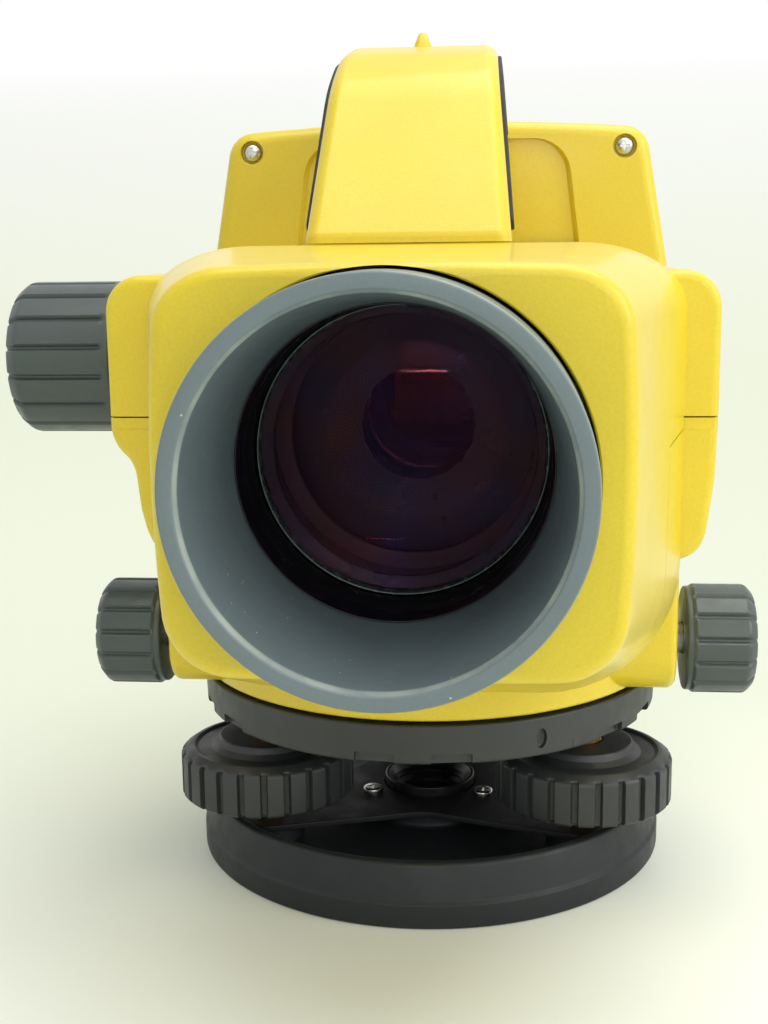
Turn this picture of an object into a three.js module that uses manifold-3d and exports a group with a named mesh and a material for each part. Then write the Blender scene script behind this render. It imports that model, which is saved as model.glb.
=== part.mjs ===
// A digital level: a surveying telescope with a carry handle, a keypad and display at the
// eyepiece end, a fine-motion drive, and a levelling base with three foot screws.
// Millimetres, +Z up. The objective looks along -Y and the eyepiece is at +Y.
// Pieces are drawn about the vertical turning axis, and the finished group is then moved so
// that its origin lies under the middle of its overall box, on the surface it stands on.

import * as THREE from "three";
import { mergeVertices } from "three/addons/utils/BufferGeometryUtils.js";
import Module from "manifold-3d";

const wasm = await Module();
wasm.setup();

// Fits and facets
const fitGap = 0.3;
const slideGap = 0.35;
const overrun = 2;
const weldDistance = 0.0001;
const fineSegments = 32;
const mediumSegments = 18;
const smallSegments = 10;
const cornerSteps = 3;

// Base plate
const baseRadius = 53.8;
const baseHeight = 13.6;
const baseBandHeight = 5.2;
const baseBandInset = 0.7;
const baseTaper = 2.1;
const baseEdge = 0.6;
const baseRimWidth = 2.2;
const baseDishFloor = 6;
const baseBossRadius = 16;
const footPitchRadius = 41;
const footPostRadius = 8;
const footPostHeight = 9.7;
const footBallClearance = 0.5;

// Tripod thread bush
const tripodBushRadius = 10.7;
const tripodThreadRadius = 7.9;
const tripodBushTop = 13.6;
const tripodBushMouth = 1.4;

// Spring plate that holds the ball feet down
const springThickness = 1.4;
const springArmWidth = 17;
const springArmOverhang = 6.5;
const springWaist = 19.2;
const springTrap = 0.15;

// Foot screws
const footBallRadius = 4.2;
const footBallHeight = 8;
const footNeckRadius = 2.8;
const footStudRadius = 4;
const footStudShoulder = 13;
const footStudTop = 40.2;
const footKnobRadius = 19.4;
const footKnobLow = 17;
const footKnobHeight = 11.2;
const footKnobShoulder = 2.2;
const footKnobTopShare = 0.85;
const footCollarRadius = 11.3;
const footCollarHeight = 2;
const footGrooveCount = 24;
const footGrooveDepth = 0.9;
const footGrooveShare = 0.31;
const footScrewPitch = 0.75;

// Levelling head and spindle
const headLow = 34.6;
const headThickness = 6.5;
const headRadius = 49.2;
const headHubRadius = 18;
const headHubRise = 4.9;
const headHubDrop = 4;
const headBushRadius = 4.45;
const headPocketDepth = 2.4;
const headPocketInner = 22;
const headPocketOuter = 34;
const headTiltHeight = 38;
const spindleRootRadius = 7;
const spindleRootDepth = 12;
const spindleFlangeRadius = 16;
const spindleFlangeThickness = 3;
const wheelSeatRadius = 12;
const journalRadius = 9;
const spindleThreadRadius = 6;
const spindleThreadLength = 2.4;
const spindleNutRadius = 11.6;
const spindleNutThickness = 2.4;

// Alidade bearing
const sleeveRadius = 12.5;
const sleeveLow = 58;
const sleeveLength = 13.8;
const sleeveHigh = sleeveLow + sleeveLength;
const sleeveBossRadius = 17;
const sleeveBossInset = 0.4;
const sleeveBossLow = sleeveLow + sleeveBossInset;
const sleeveBossHigh = sleeveHigh - 2 * fitGap;
const journalTop = sleeveHigh + sleeveBossInset;

// Horizontal circle ring
const ringRadius = 52.5;
const ringLow = 35;
const ringHeight = 8.4;
const ringLipInner = 47.7;
const ringLipThickness = 2;
const ringBevel = 0.8;
const ringNotchPairs = 6;
const ringNotchPairShare = 0.145;
const ringNotchWidth = 8.4;
const ringNotchHeight = 2.3;
const ringNotchDepth = 1.1;

// Fine-motion worm and wheel
const wheelTeeth = 48;
const wheelPitchRadius = 17.5;
const wheelAddendum = 0.42;
const wheelDedendum = 0.72;
const wheelToothShare = 0.42;
const wheelFaceWidth = 4;
const wheelHubThickness = 2.8;
const fineShaftHeight = 54;
const fineShaftForward = 21.9;
const fineShaftRadius = 3.4;
const wormCoreRadius = 3.8;
const wormTipRadius = 4.85;
const wormRidgeShare = 0.3;
const wormTurns = 4;
const wormSteps = 6;

// Fine-motion knobs
const fineKnobRadius = 11.67;
const fineKnobLength = 14.7;
const fineKnobStand = 2.3;
const fineKnobDome = 1.6;
const fineKnobTopShare = 0.8;
const fineGrooveCount = 14;
const fineGrooveDepth = 0.7;
const fineGrooveShare = 0.24;
const fineShaftInset = 2;

// Telescope tube, which clears the spindle's nut below it
const tubeOuter = 25.3;
const tubeInner = 23;
const tubeFrontBore = 23.9;
const tubeRear = 8;
const tubeClearance = 1.2;

// Housing: heights are reckoned from the line of sight, and widths from the hood's seat
const wall = 3;
const splitGap = 0.3;
const axisHeight = journalTop + fitGap + spindleNutThickness + tubeClearance + tubeOuter;
const splitRise = 4.6;
const splitHeight = axisHeight + splitRise;
const hoodBoreRadius = 34.2;
const blockFaceMargin = 3;
const blockFaceHalfWidth = hoodBoreRadius + blockFaceMargin;
const bodySpread = 20.8;
const bodyHalfWidth = blockFaceHalfWidth + bodySpread;
const bodyFront = 56;
const shoulderRise = 27;
const shoulderTop = splitHeight + shoulderRise;
const shoulderCorner = 7;
const bodyRearFront = 38;
const bodyRear = 104;
const flankDrop = 27.7;
const flankLow = splitHeight - flankDrop;
const deckInset = 7.5;
const deckHalfWidth = bodyHalfWidth - deckInset;
const deckRise = 32.2;
const deckTop = splitHeight + deckRise;
const deckCornerWidth = 20;
const deckCornerHeight = 12;
const blockFront = 105;
const blockShift = 1;
const blockFaceRise = 33.6;
const blockFaceTop = axisHeight + blockFaceRise;
const blockFaceDrop = 31.9;
const blockFaceLow = axisHeight - blockFaceDrop;
const blockFaceCornerWidth = 12;
const blockFaceCornerHeight = 10;
const blockFaceLowCorner = 11;
const blockRearDrop = 49.4;
const blockRearLow = axisHeight - blockRearDrop;
const blockRearLowCorner = 26;
const blockEdge = 1.6;
const blockTail = 30;
const blockCavityFront = 78;
const partingForward = 72;
const partingStep = 2.2;
const partingDrop = 3.3;
const turretRadius = 52.5;
const turretLow = 44.1;
const turretTop = 66;
const turretFloor = 2.4;
const turretMouthRadius = 27;
const webLow = 60;
const webThickness = 3;
const blockHollowRise = 4;
const lowerBoxInset = 4;
const lowerBoxHalfWidth = bodyHalfWidth - lowerBoxInset;
const lowerBoxFront = 35;
const lowerBoxLow = 44.5;
const lowerBoxRise = 3.7;
const lowerBoxTop = flankLow + lowerBoxRise;
const lowerBoxCorner = 8.5;

const fineKnobReach = lowerBoxHalfWidth + fineKnobStand + fineKnobLength;

// Outline of the lower flanks: shares of the body's half width, and of the flank's height
// from the split line down
const rightFlankShares = [[1, 0], [0.994, 0.43], [0.97, 0.82], [0.95, 0.92], [0.91, 0.98],
  [0.85, 1]];
const leftFlankShares = [[1, 0.12], [0.974, 0.235], [0.938, 0.3], [0.922, 0.39],
  [0.909, 0.66], [0.893, 0.8], [0.871, 0.915], [0.84, 0.98], [0.8, 1]];

// Hood, objective and telescope tube
const hoodReach = 117.9;
const hoodRadius = 33.1;
const hoodMouthRadius = 30.1;
const hoodThroatRadius = 27;
const hoodRear = 84.4;
const hoodThroatFront = 89.5;
const hoodRimEdge = 0.5;
const hoodSeat = 84;
const cellBoreRadius = 26.8;
const cellWall = 2.7;
const cellRadius = cellBoreRadius + cellWall;
const cellFront = hoodRear - fitGap;
const cellDepth = 26.1;
const cellRear = cellFront - cellDepth;
const cellFloor = 3.2;
const cellRearBore = 23.9;
const lensRadius = cellBoreRadius - slideGap;
const lensEdge = 6.6;
const lensCrown = 2.4;
const lensRear = cellRear + cellFloor + fitGap;
const lensFront = lensRear + lensEdge;
const retainingWidth = 1.3;
const retainingThickness = 1.8;
const baffleRadius = 21;
const baffleThickness = 1.7;

// Focusing knob, pinion and carriage
const focusRise = 13.5;
const focusHeight = axisHeight + focusRise;
const focusForward = 19.1;
const focusKnobRadius = 16.25;
const focusKnobLength = 26.4;
const focusKnobStand = 2.6;
const focusKnobReach = bodyHalfWidth + focusKnobStand + focusKnobLength;
const focusKnobDome = 2.6;
const focusKnobTopShare = 0.86;
const focusKnobCollarRadius = 14.9;
const focusKnobCollarLength = 3.4;
const focusGrooveCount = 16;
const focusGrooveDepth = 0.9;
const focusGrooveShare = 0.22;
const focusKnobCap = 2.2;
const focusShaftRadius = 2.5;
const focusBushRadius = 6;
const focusBushFlange = 8;
const focusBushFlangeThickness = 1.6;
const focusBushDepth = 4.6;
const pinionTeeth = 10;
const pinionPitchRadius = 3.2;
const toothAddendum = 0.4;
const toothDedendum = 0.6;
const toothTipShare = 0.2;
const toothRootShare = 0.42;
const pinionLength = 4.5;
const pinionInner = 12.5;
const carriageTubeOuter = 11;
const carriageTubeInner = 9.5;
const carriageRingRadius = 22.6;
const carriageRingThickness = 2.2;
const carriageHalfLength = 14.2;
const carriageTravel = 8.05;
const rackBarWidth = 5.4;
const rackBarHeight = 3.8;
const rackTeeth = 10;
const focusingLensRadius = 9.2;
const focusingLensThickness = 4;

// Compensator
const frameHalfWidth = 15;
const frameWall = 3;
const frameDiscRadius = 24;
const frameDiscBore = 10;
const frameRear = 37;
const frameDrop = 13.4;
const frameRise = 17.6;
const frameLow = axisHeight - frameDrop;
const frameHigh = axisHeight + frameRise;
const pendulumPivotRadius = 1.2;
const pendulumPivotRise = 10.6;
const pendulumPivotHeight = axisHeight + pendulumPivotRise;
const pendulumPivotBack = 25;
const pendulumHalfWidth = 8;
const pendulumHalfDepth = 7;
const pendulumDrop = 8;
const pendulumRise = 13;
const pendulumLow = axisHeight - pendulumDrop;
const pendulumHigh = axisHeight + pendulumRise;
const pendulumSlot = 5;

// Beam splitter, sensor and boards
const splitterHalf = 8;
const splitterFront = 44;
const pedestalMargin = 1;
const sensorThickness = 1.6;
const sensorMargin = 2;
const boardThickness = 1.6;
const boardInset = 14;
const boardHalfWidth = bodyHalfWidth - boardInset;
const boardHalfDepth = 29;

// Eyepiece
const eyeTubeOuter = 12.5;
const eyeTubeInner = 10.9;
const eyeTubeFront = 63;
const eyeTubeRear = 117;
const eyeFlangeRadius = 15;
const eyeFlangeThickness = 1.8;
const eyeRingOuter = 16;
const eyeRingLength = 13.6;
const eyeGrooveCount = 12;
const eyeGrooveDepth = 0.8;
const eyeGrooveShare = 0.4;
const eyeCupOuter = 15.4;
const eyeCupMouth = 12.2;
const eyeCupInner = 9.4;
const eyeCupFlare = 4;
const eyeCellRadius = 10.5;
const eyeCellBore = 8.6;
const eyeCellFront = 106;
const eyeCellLength = 14;
const eyeCellFloor = 2.4;
const eyeThreadPitch = 3;

// Display housing and rear panel
const displayRise = 62.1;
const displayTop = splitHeight + displayRise;
const displayCrown = 2.1;
const displaySideTop = displayTop - displayCrown;
const displayLowInset = 0.7;
const displayTopInset = 6.4;
const displayTopHalfWidth = bodyHalfWidth - displayTopInset;
const displayCorner = 7;
const displayEdge = 1.6;
const displayStepDepth = 1.5;
const displayStepDrop = 4.5;
const displayStepHeight = 29.6;
const displayStepHigh = displayTop - displayStepDrop;
const displayStepLow = displayStepHigh - displayStepHeight;
const displayStepLowInset = 15.1;
const displayStepHighInset = 20.6;
const displayStepLowHalfWidth = displayTopHalfWidth - displayStepLowInset;
const displayStepHighHalfWidth = displayTopHalfWidth - displayStepHighInset;
const screwInset = 5.3;
const screwDrop = 6.7;
const screwSide = displayTopHalfWidth - screwInset;
const screwHeight = displayTop - screwDrop;
const screwPocketRadius = 2.8;
const screwPocketDepth = 2;
const screwHeadRadius = 2.2;
const screwHeadThickness = 1.5;
const screwShankRadius = 1.3;
const panelThickness = 5;
const eyeSeat = bodyRear + splitGap + panelThickness + fitGap;
const eyeRingStart = eyeSeat + eyeFlangeThickness + slideGap;
const eyeCupStart = eyeRingStart + eyeRingLength + fitGap;
const eyeCupLength = 13.45;
const eyepieceReach = eyeCupStart + eyeCupLength;
const panelInset = 1;
const panelRise = 2.2;
const panelLow = flankLow + panelRise;
const panelEdge = 1.2;
const windowHalfWidth = 30;
const windowDrop = 13.6;
const windowHeight = 27.5;
const windowHigh = displayTop - windowDrop;
const windowLow = windowHigh - windowHeight;
const windowLedge = 2;
const windowThickness = 1.6;
const windowRecess = 0.3;
const moduleThickness = 5;
const moduleMargin = 3;

// Keys
const keyWidth = 10;
const keyHeight = 7.6;
const keyProud = 0.9;
const keyTravel = 0.8;
const keyFlange = 1;
const keyFlangeThickness = 1.4;
const keyColumnInset = 16.5;
const keyColumnPitch = 13;
const keyRowRise = 8;
const keyRowPitch = 12;
const measureKeyRadius = 5.4;
const measureKeyProud = 0.8;
const measureKeyFlange = 1.2;
const measureKeyFlangeThickness = 1.4;
const measureKeyBack = 15;

// Circular level
const vialInset = 18.5;
const vialSide = bodyHalfWidth - vialInset;
const vialBack = 93;
const vialRadius = 7.6;
const vialHeight = 6.4;
const vialRecessHalfWidth = 9.5;
const vialRecessRise = 5;
const vialRecessHeight = 27;
const vialRecessHigh = splitHeight + vialRecessRise;
const vialRecessLow = vialRecessHigh - vialRecessHeight;
const vialRecessFront = 81.5;
const vialRecessWall = 1.5;
const mirrorThickness = 1.5;
const mirrorHalfWidth = 9.1;
const mirrorLength = 22;

// Handle
const handleLowHalfWidth = 19.5;
const handleTopHalfWidth = 16;
const handleRise = 41.4;
const handleTop = deckTop + handleRise;
const handleFootFront = 54;
const handleFootRear = 28;
const handleFootRise = 1.6;
const handleBend = 34;
const handleBendDrop = 9.6;
const handleBrow = 23;
const handleBrowDrop = 3.2;
const handleCrown = 9;
const handleGripDrop = 18;
const handleGripFront = 5;
const handleThroat = 13;
const handleThroatDrop = 5;
const handleCrownRear = 36;
const handleTailSlope = 5.4;
const handleTailMid = 68;
const handleTail = 88;
const handleTailHeight = 2.2;
const inlayInset = 2.8;
const inlayRecess = 1;
const inlayProud = 0.7;
const sightHalfWidth = 1.8;
const sightTipHalfWidth = 0.8;
const sightFront = 9;
const sightBack = 1;
const sightDraw = 1.4;
const sightRise = 3;
const sightTop = handleTop + sightRise;

// Battery and its door
const batteryLength = 66;
const batteryWidth = 19;
const batteryHeight = 19.4;
const batteryInset = 23.5;
const batteryInner = bodyHalfWidth - batteryInset;
const batteryStart = -3;
const bayWall = 1.5;
const bayClearance = 0.4;
const doorDrop = 3.4;
const doorHigh = splitHeight - doorDrop;
const doorMargin = 2.6;
const doorThickness = 2.7;
const doorHingeInset = 2;
const doorHingeDrop = 21.7;
const doorHingeSide = bodyHalfWidth - doorHingeInset;
const doorHingeHeight = doorHigh - doorHingeDrop;
const doorBarrelRadius = 1.7;
const doorBarrelShare = 0.8;
const doorPocketRadius = 3;

// Data socket
const socketRadius = 6;
const socketBack = 62;
const socketDrop = 15;
const socketHeight = splitHeight - socketDrop;
const socketDepth = 7;
const socketBore = 4.4;
const socketProud = 0.5;

// Finishes
const yellowPaint = { color: 0xdcbb47, roughness: 0.55, metalness: 0.0 };
const charcoalPlastic = { color: 0x3d3c37, roughness: 0.6, metalness: 0.0 };
const basePaint = { color: 0x3b3d3e, roughness: 0.5, metalness: 0.3 };
const knobRubber = { color: 0x464f4c, roughness: 0.75, metalness: 0.0 };
const slateGrey = { color: 0x727b80, roughness: 0.5, metalness: 0.1 };
const blackAnodised = { color: 0x141316, roughness: 0.4, metalness: 0.5 };
const bareSteel = { color: 0xb9b9b4, roughness: 0.3, metalness: 1.0 };
const brass = { color: 0xb08d4a, roughness: 0.35, metalness: 1.0 };
const coatedGlass = { color: 0x2a1f33, roughness: 0.05, metalness: 0.0 };
const clearGlass = { color: 0x9fb4b0, roughness: 0.05, metalness: 0.0 };
const circuitBoard = { color: 0x1f5a3a, roughness: 0.6, metalness: 0.0 };
const keyGrey = { color: 0x8f9698, roughness: 0.7, metalness: 0.0 };
const softBlack = { color: 0x1c1c1c, roughness: 0.85, metalness: 0.0 };
const mirrorSilver = { color: 0xdfe3e4, roughness: 0.05, metalness: 1.0 };

// Turns a shape drawn with its height along local z so that the height lies along an axis
const turns = {
  x: new THREE.Matrix4().set(0, 0, 1, 0, 1, 0, 0, 0, 0, 1, 0, 0, 0, 0, 0, 1),
  y: new THREE.Matrix4().set(1, 0, 0, 0, 0, 0, 1, 0, 0, 1, 0, 0, 0, 0, 0, 1),
  z: new THREE.Matrix4(),
};

// Solid from a closed geometry, with coincident corners welded and its faces turned outward
function toSolid(geometry) {
  const bare = geometry.clone();
  bare.deleteAttribute("normal");
  bare.deleteAttribute("uv");
  const welded = mergeVertices(bare, weldDistance);
  const corners = welded.getAttribute("position").array;
  const index = welded.getIndex().array;
  const faces = [];
  let volume = 0;
  const a = new THREE.Vector3();
  const b = new THREE.Vector3();
  const c = new THREE.Vector3();
  for (let i = 0; i < index.length; i += 3) {
    const [p, q, r] = [index[i], index[i + 1], index[i + 2]];
    if (p === q || q === r || r === p) continue;
    faces.push(p, q, r);
    a.fromArray(corners, 3 * p);
    b.fromArray(corners, 3 * q);
    c.fromArray(corners, 3 * r);
    volume += a.dot(b.cross(c));
  }
  if (volume < 0) {
    for (let i = 0; i < faces.length; i += 3) {
      [faces[i], faces[i + 1]] = [faces[i + 1], faces[i]];
    }
  }
  const mesh = new wasm.Mesh({
    numProp: 3,
    vertProperties: Float32Array.from(corners),
    triVerts: Uint32Array.from(faces),
  });
  return new wasm.Manifold(mesh);
}

function join(...solids) {
  return solids.reduce((whole, next) => whole.add(next));
}

function cut(solid, ...tools) {
  return tools.reduce((rest, tool) => rest.subtract(tool), solid);
}

// Outline extruded between two places along an axis. Local outline axes are X,Y for z;
// X,Z for y; and Y,Z for x.
function prism(axis, outline, from, to) {
  const shape = new THREE.Shape(outline.map(([u, v]) => new THREE.Vector2(u, v)));
  const geometry = new THREE.ExtrudeGeometry(shape, { depth: to - from, bevelEnabled: false });
  geometry.translate(0, 0, from);
  geometry.applyMatrix4(turns[axis]);
  return toSolid(geometry);
}

// Skin through outlines with equal numbers of points, each at its own place along an axis
function loft(axis, sections) {
  const count = sections[0].outline.length;
  const positions = [];
  const index = [];
  for (const { at, outline } of sections) {
    for (const [u, v] of outline) positions.push(u, v, at);
  }
  for (let s = 0; s + 1 < sections.length; s += 1) {
    for (let i = 0; i < count; i += 1) {
      const here = s * count + i;
      const next = s * count + ((i + 1) % count);
      index.push(here, next, next + count, here, next + count, here + count);
    }
  }
  const flat = (section) => section.outline.map(([u, v]) => new THREE.Vector2(u, v));
  const last = (sections.length - 1) * count;
  for (const [p, q, r] of THREE.ShapeUtils.triangulateShape(flat(sections[0]), [])) {
    index.push(r, q, p);
  }
  for (const [p, q, r] of THREE.ShapeUtils.triangulateShape(flat(sections.at(-1)), [])) {
    index.push(last + p, last + q, last + r);
  }
  const geometry = new THREE.BufferGeometry();
  geometry.setAttribute("position", new THREE.Float32BufferAttribute(positions, 3));
  geometry.setIndex(index);
  geometry.applyMatrix4(turns[axis]);
  return toSolid(geometry);
}

// Profile of [radius, height] points turned about an axis that passes through a place
function turned(axis, profile, segments, place = [0, 0]) {
  const points = profile.map(([radius, height]) => new THREE.Vector2(radius, height));
  const closed = profile[0][0] > 0 || profile.at(-1)[0] > 0;
  if (closed) points.push(points[0].clone());
  const geometry = new THREE.LatheGeometry(points, segments);
  geometry.rotateX(Math.PI / 2);
  geometry.scale(1, 1, -1);
  geometry.rotateZ(Math.PI / segments);
  geometry.scale(1, 1, -1);
  geometry.translate(place[0], place[1], 0);
  geometry.applyMatrix4(turns[axis]);
  return toSolid(geometry);
}

function rod(axis, radius, from, to, segments, place = [0, 0]) {
  return turned(axis, [[0, from], [radius, from], [radius, to], [0, to]], segments, place);
}

// Round tool for cutting: its flats, and not its corners, lie at the named radius
function bore(axis, radius, from, to, segments, place = [0, 0]) {
  return rod(axis, radius / Math.cos(Math.PI / segments), from, to, segments, place);
}

function tube(axis, outer, inner, from, to, segments, place = [0, 0]) {
  const profile = [[inner, from], [outer, from], [outer, to], [inner, to]];
  return turned(axis, profile, segments, place);
}

function block(x0, x1, y0, y1, z0, z1) {
  const geometry = new THREE.BoxGeometry(x1 - x0, y1 - y0, z1 - z0);
  geometry.translate((x0 + x1) / 2, (y0 + y1) / 2, (z0 + z1) / 2);
  return toSolid(geometry);
}

// Rounded box outline from low to high. Upper corners are quarter ellipses of their own width
// and height, and lower corners are quarter circles.
function roundedOutline(halfWidth, low, high, upper, lowerRadius, steps = cornerSteps) {
  const outline = [];
  const corner = (x, y, wide, tall, start) => {
    for (let i = 0; i <= steps; i += 1) {
      const angle = start + (i / steps) * (Math.PI / 2);
      outline.push([x + wide * Math.cos(angle), y + tall * Math.sin(angle)]);
    }
  };
  const [wide, tall] = upper;
  corner(halfWidth - wide, high - tall, wide, tall, 0);
  corner(wide - halfWidth, high - tall, wide, tall, Math.PI / 2);
  corner(lowerRadius - halfWidth, low + lowerRadius, lowerRadius, lowerRadius, Math.PI);
  corner(halfWidth - lowerRadius, low + lowerRadius, lowerRadius, lowerRadius, Math.PI * 1.5);
  return outline;
}

// Round outline of lands parted by vee grooves: the grooveShare is each pitch's cut part
function groovedOutline(radius, depth, count, grooveShare) {
  const outline = [];
  const pitch = (2 * Math.PI) / count;
  const land = pitch * (1 - grooveShare);
  for (let i = 0; i < count; i += 1) {
    const start = i * pitch - land / 2;
    for (const [r, angle] of [[radius, 0], [radius, land], [radius - depth, (land + pitch) / 2]]) {
      outline.push([r * Math.cos(start + angle), r * Math.sin(start + angle)]);
    }
  }
  return outline;
}

// Gear outline with straight-sided teeth and the first tooth or gap at angle zero
function gearOutline(teeth, rootRadius, tipRadius, rootShare, tipShare, gapFirst) {
  const outline = [];
  const pitch = (2 * Math.PI) / teeth;
  const offset = gapFirst ? pitch / 2 : 0;
  for (let i = 0; i < teeth; i += 1) {
    const centre = i * pitch + offset;
    const corners = [[rootRadius, -rootShare / 2], [tipRadius, -tipShare / 2],
      [tipRadius, tipShare / 2], [rootRadius, rootShare / 2]];
    for (const [r, share] of corners) {
      const angle = centre + share * pitch;
      outline.push([r * Math.cos(angle), r * Math.sin(angle)]);
    }
  }
  return outline;
}

// Outline moved inward by a margin, with every edge kept parallel to where it was
function insetOutline(outline, margin) {
  const count = outline.length;
  const area = THREE.ShapeUtils.area(outline.map(([u, v]) => new THREE.Vector2(u, v)));
  const inward = Math.sign(area) * margin;
  return outline.map((corner, i) => {
    const here = new THREE.Vector2(...corner);
    const before = here.clone().sub(new THREE.Vector2(...outline[(i + count - 1) % count]));
    const after = new THREE.Vector2(...outline[(i + 1) % count]).sub(here);
    before.normalize();
    after.normalize();
    const share = inward / (1 + before.dot(after));
    return [here.x - (before.y + after.y) * share, here.y + (before.x + after.x) * share];
  });
}

function shifted(outline, du, dv) {
  return outline.map(([u, v]) => [u + du, v + dv]);
}

function scaled(outline, factor) {
  return outline.map(([u, v]) => [u * factor, v * factor]);
}

const feet = {
  left: [-footPitchRadius * Math.cos(Math.PI / 6), -footPitchRadius * Math.sin(Math.PI / 6)],
  right: [footPitchRadius * Math.cos(Math.PI / 6), -footPitchRadius * Math.sin(Math.PI / 6)],
  rear: [0, footPitchRadius],
};

// Base plate: a dished casting with a raised boss and three posts with ball cups
function basePlate() {
  const inner = baseRadius - baseTaper - baseRimWidth;
  const boreRadius = (tripodBushRadius + fitGap) / Math.cos(Math.PI / fineSegments);
  const upper = baseRadius - baseBandInset;
  const plate = turned("z", [
    [boreRadius, 0], [baseRadius - baseEdge, 0], [baseRadius, baseEdge],
    [baseRadius, baseBandHeight], [upper, baseBandHeight + baseBandInset],
    [baseRadius - baseTaper, baseHeight - baseEdge],
    [baseRadius - baseTaper - baseEdge, baseHeight], [inner, baseHeight],
    [inner - baseEdge, baseDishFloor], [baseBossRadius, baseDishFloor],
    [baseBossRadius, footPostHeight], [boreRadius, footPostHeight],
  ], fineSegments);
  const cupRadius = footBallRadius + footBallClearance;
  let whole = plate;
  for (const place of Object.values(feet)) {
    const post = rod("z", footPostRadius, baseDishFloor - baseEdge, footPostHeight,
      smallSegments, place);
    whole = join(whole, post);
  }
  for (const place of Object.values(feet)) {
    whole = cut(whole, turned("z", ballCup(cupRadius), smallSegments, place));
  }
  return whole;
}

// Half-round cup open at the top, about the foot's ball
function ballCup(radius) {
  const profile = [[0, footBallHeight - radius]];
  for (let i = 1; i <= cornerSteps; i += 1) {
    const angle = (i / cornerSteps) * (Math.PI / 2);
    profile.push([radius * Math.sin(angle), footBallHeight - radius * Math.cos(angle)]);
  }
  profile.push([radius, footPostHeight + overrun], [0, footPostHeight + overrun]);
  return profile;
}

// Threaded bush for the tripod's screw, with a dished mouth standing above the spring plate
function tripodBush() {
  return turned("z", [
    [tripodThreadRadius, fitGap], [tripodBushRadius, fitGap],
    [tripodBushRadius, tripodBushTop], [tripodBushRadius - baseEdge, tripodBushTop],
    [tripodThreadRadius, tripodBushTop - tripodBushMouth],
  ], mediumSegments);
}

// Spring plate: a three-armed plate with a narrow waist that traps the ball feet
function springPlate() {
  const low = footPostHeight + fitGap;
  const end = footPitchRadius + springArmOverhang;
  const outline = [];
  for (let i = 0; i < 3; i += 1) {
    const along = (i * 2 * Math.PI) / 3 + Math.PI / 2;
    const corners = [[end - springArmOverhang / 2, -1], [end, -1 / 2], [end, 1 / 2],
      [end - springArmOverhang / 2, 1]];
    for (const [reach, side] of corners) {
      const wide = (side * springArmWidth) / 2;
      outline.push([reach * Math.cos(along) - wide * Math.sin(along),
        reach * Math.sin(along) + wide * Math.cos(along)]);
    }
    const waist = along + Math.PI / 3;
    outline.push([springWaist * Math.cos(waist), springWaist * Math.sin(waist)]);
  }
  let plate = prism("z", outline, low, low + springThickness);
  for (const place of Object.values(feet)) {
    plate = cut(plate, bore("z", footBallRadius - springTrap, low - overrun,
      low + springThickness + overrun, smallSegments, place));
  }
  return cut(plate, bore("z", tripodBushRadius + fitGap, low - overrun, low + springThickness
    + overrun, mediumSegments));
}

// Foot screw stud: a ball foot, a neck under the spring plate, and the threaded shank
function footStud(place) {
  const profile = [[0, footBallHeight - footBallRadius]];
  const neckAngle = Math.PI - Math.asin(footNeckRadius / footBallRadius);
  const steps = 2 * cornerSteps;
  for (let i = 1; i <= steps; i += 1) {
    const angle = (i / steps) * neckAngle;
    profile.push([footBallRadius * Math.sin(angle),
      footBallHeight - footBallRadius * Math.cos(angle)]);
  }
  profile.push([footNeckRadius, footStudShoulder], [footStudRadius, footStudShoulder],
    [footStudRadius, footStudTop], [0, footStudTop]);
  return turned("z", profile, smallSegments, place);
}

function footKnob(place) {
  const outline = groovedOutline(footKnobRadius, footGrooveDepth, footGrooveCount,
    footGrooveShare);
  const top = footKnobLow + footKnobHeight;
  const body = loft("z", [
    { at: footKnobLow, outline },
    { at: top - footKnobShoulder, outline },
    { at: top, outline: scaled(outline, footKnobTopShare) },
  ].map(({ at, outline: ring }) => ({ at, outline: shifted(ring, place[0], place[1]) })));
  const collar = rod("z", footCollarRadius, top - footKnobShoulder, top + footCollarHeight,
    mediumSegments, place);
  const hole = bore("z", footStudRadius + fitGap, footKnobLow - overrun,
    top + footCollarHeight + overrun, smallSegments, place);
  return cut(join(body, collar), hole);
}

// Levelling head: a disc tapped for the foot screws, with the spindle's hub at its middle
function levellingHead() {
  const top = headLow + headThickness;
  const boreRadius = spindleRootRadius + fitGap;
  const hubTop = top + headHubRise;
  const hubLow = headLow - headHubDrop;
  const disc = turned("z", [
    [0, hubLow], [headHubRadius, hubLow], [headHubRadius, headLow], [headRadius, headLow],
    [headRadius, top], [headHubRadius, top], [headHubRadius, hubTop], [boreRadius, hubTop],
    [boreRadius, hubTop - spindleRootDepth - fitGap], [0, hubTop - spindleRootDepth - fitGap],
  ], fineSegments);
  let whole = disc;
  for (const place of Object.values(feet)) {
    whole = cut(whole, bore("z", headBushRadius, headLow - overrun, top + overrun,
      smallSegments, place));
  }
  // Lightening pockets between the feet, opposite each foot
  for (const [x, y] of Object.values(feet)) {
    const middle = (headPocketInner + headPocketOuter) / 2;
    const reach = (headPocketOuter - headPocketInner) / 2;
    const place = [(-x / footPitchRadius) * middle, (-y / footPitchRadius) * middle];
    whole = cut(whole, rod("z", reach, headLow - overrun, headLow + headPocketDepth,
      smallSegments, place));
  }
  return whole;
}

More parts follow.
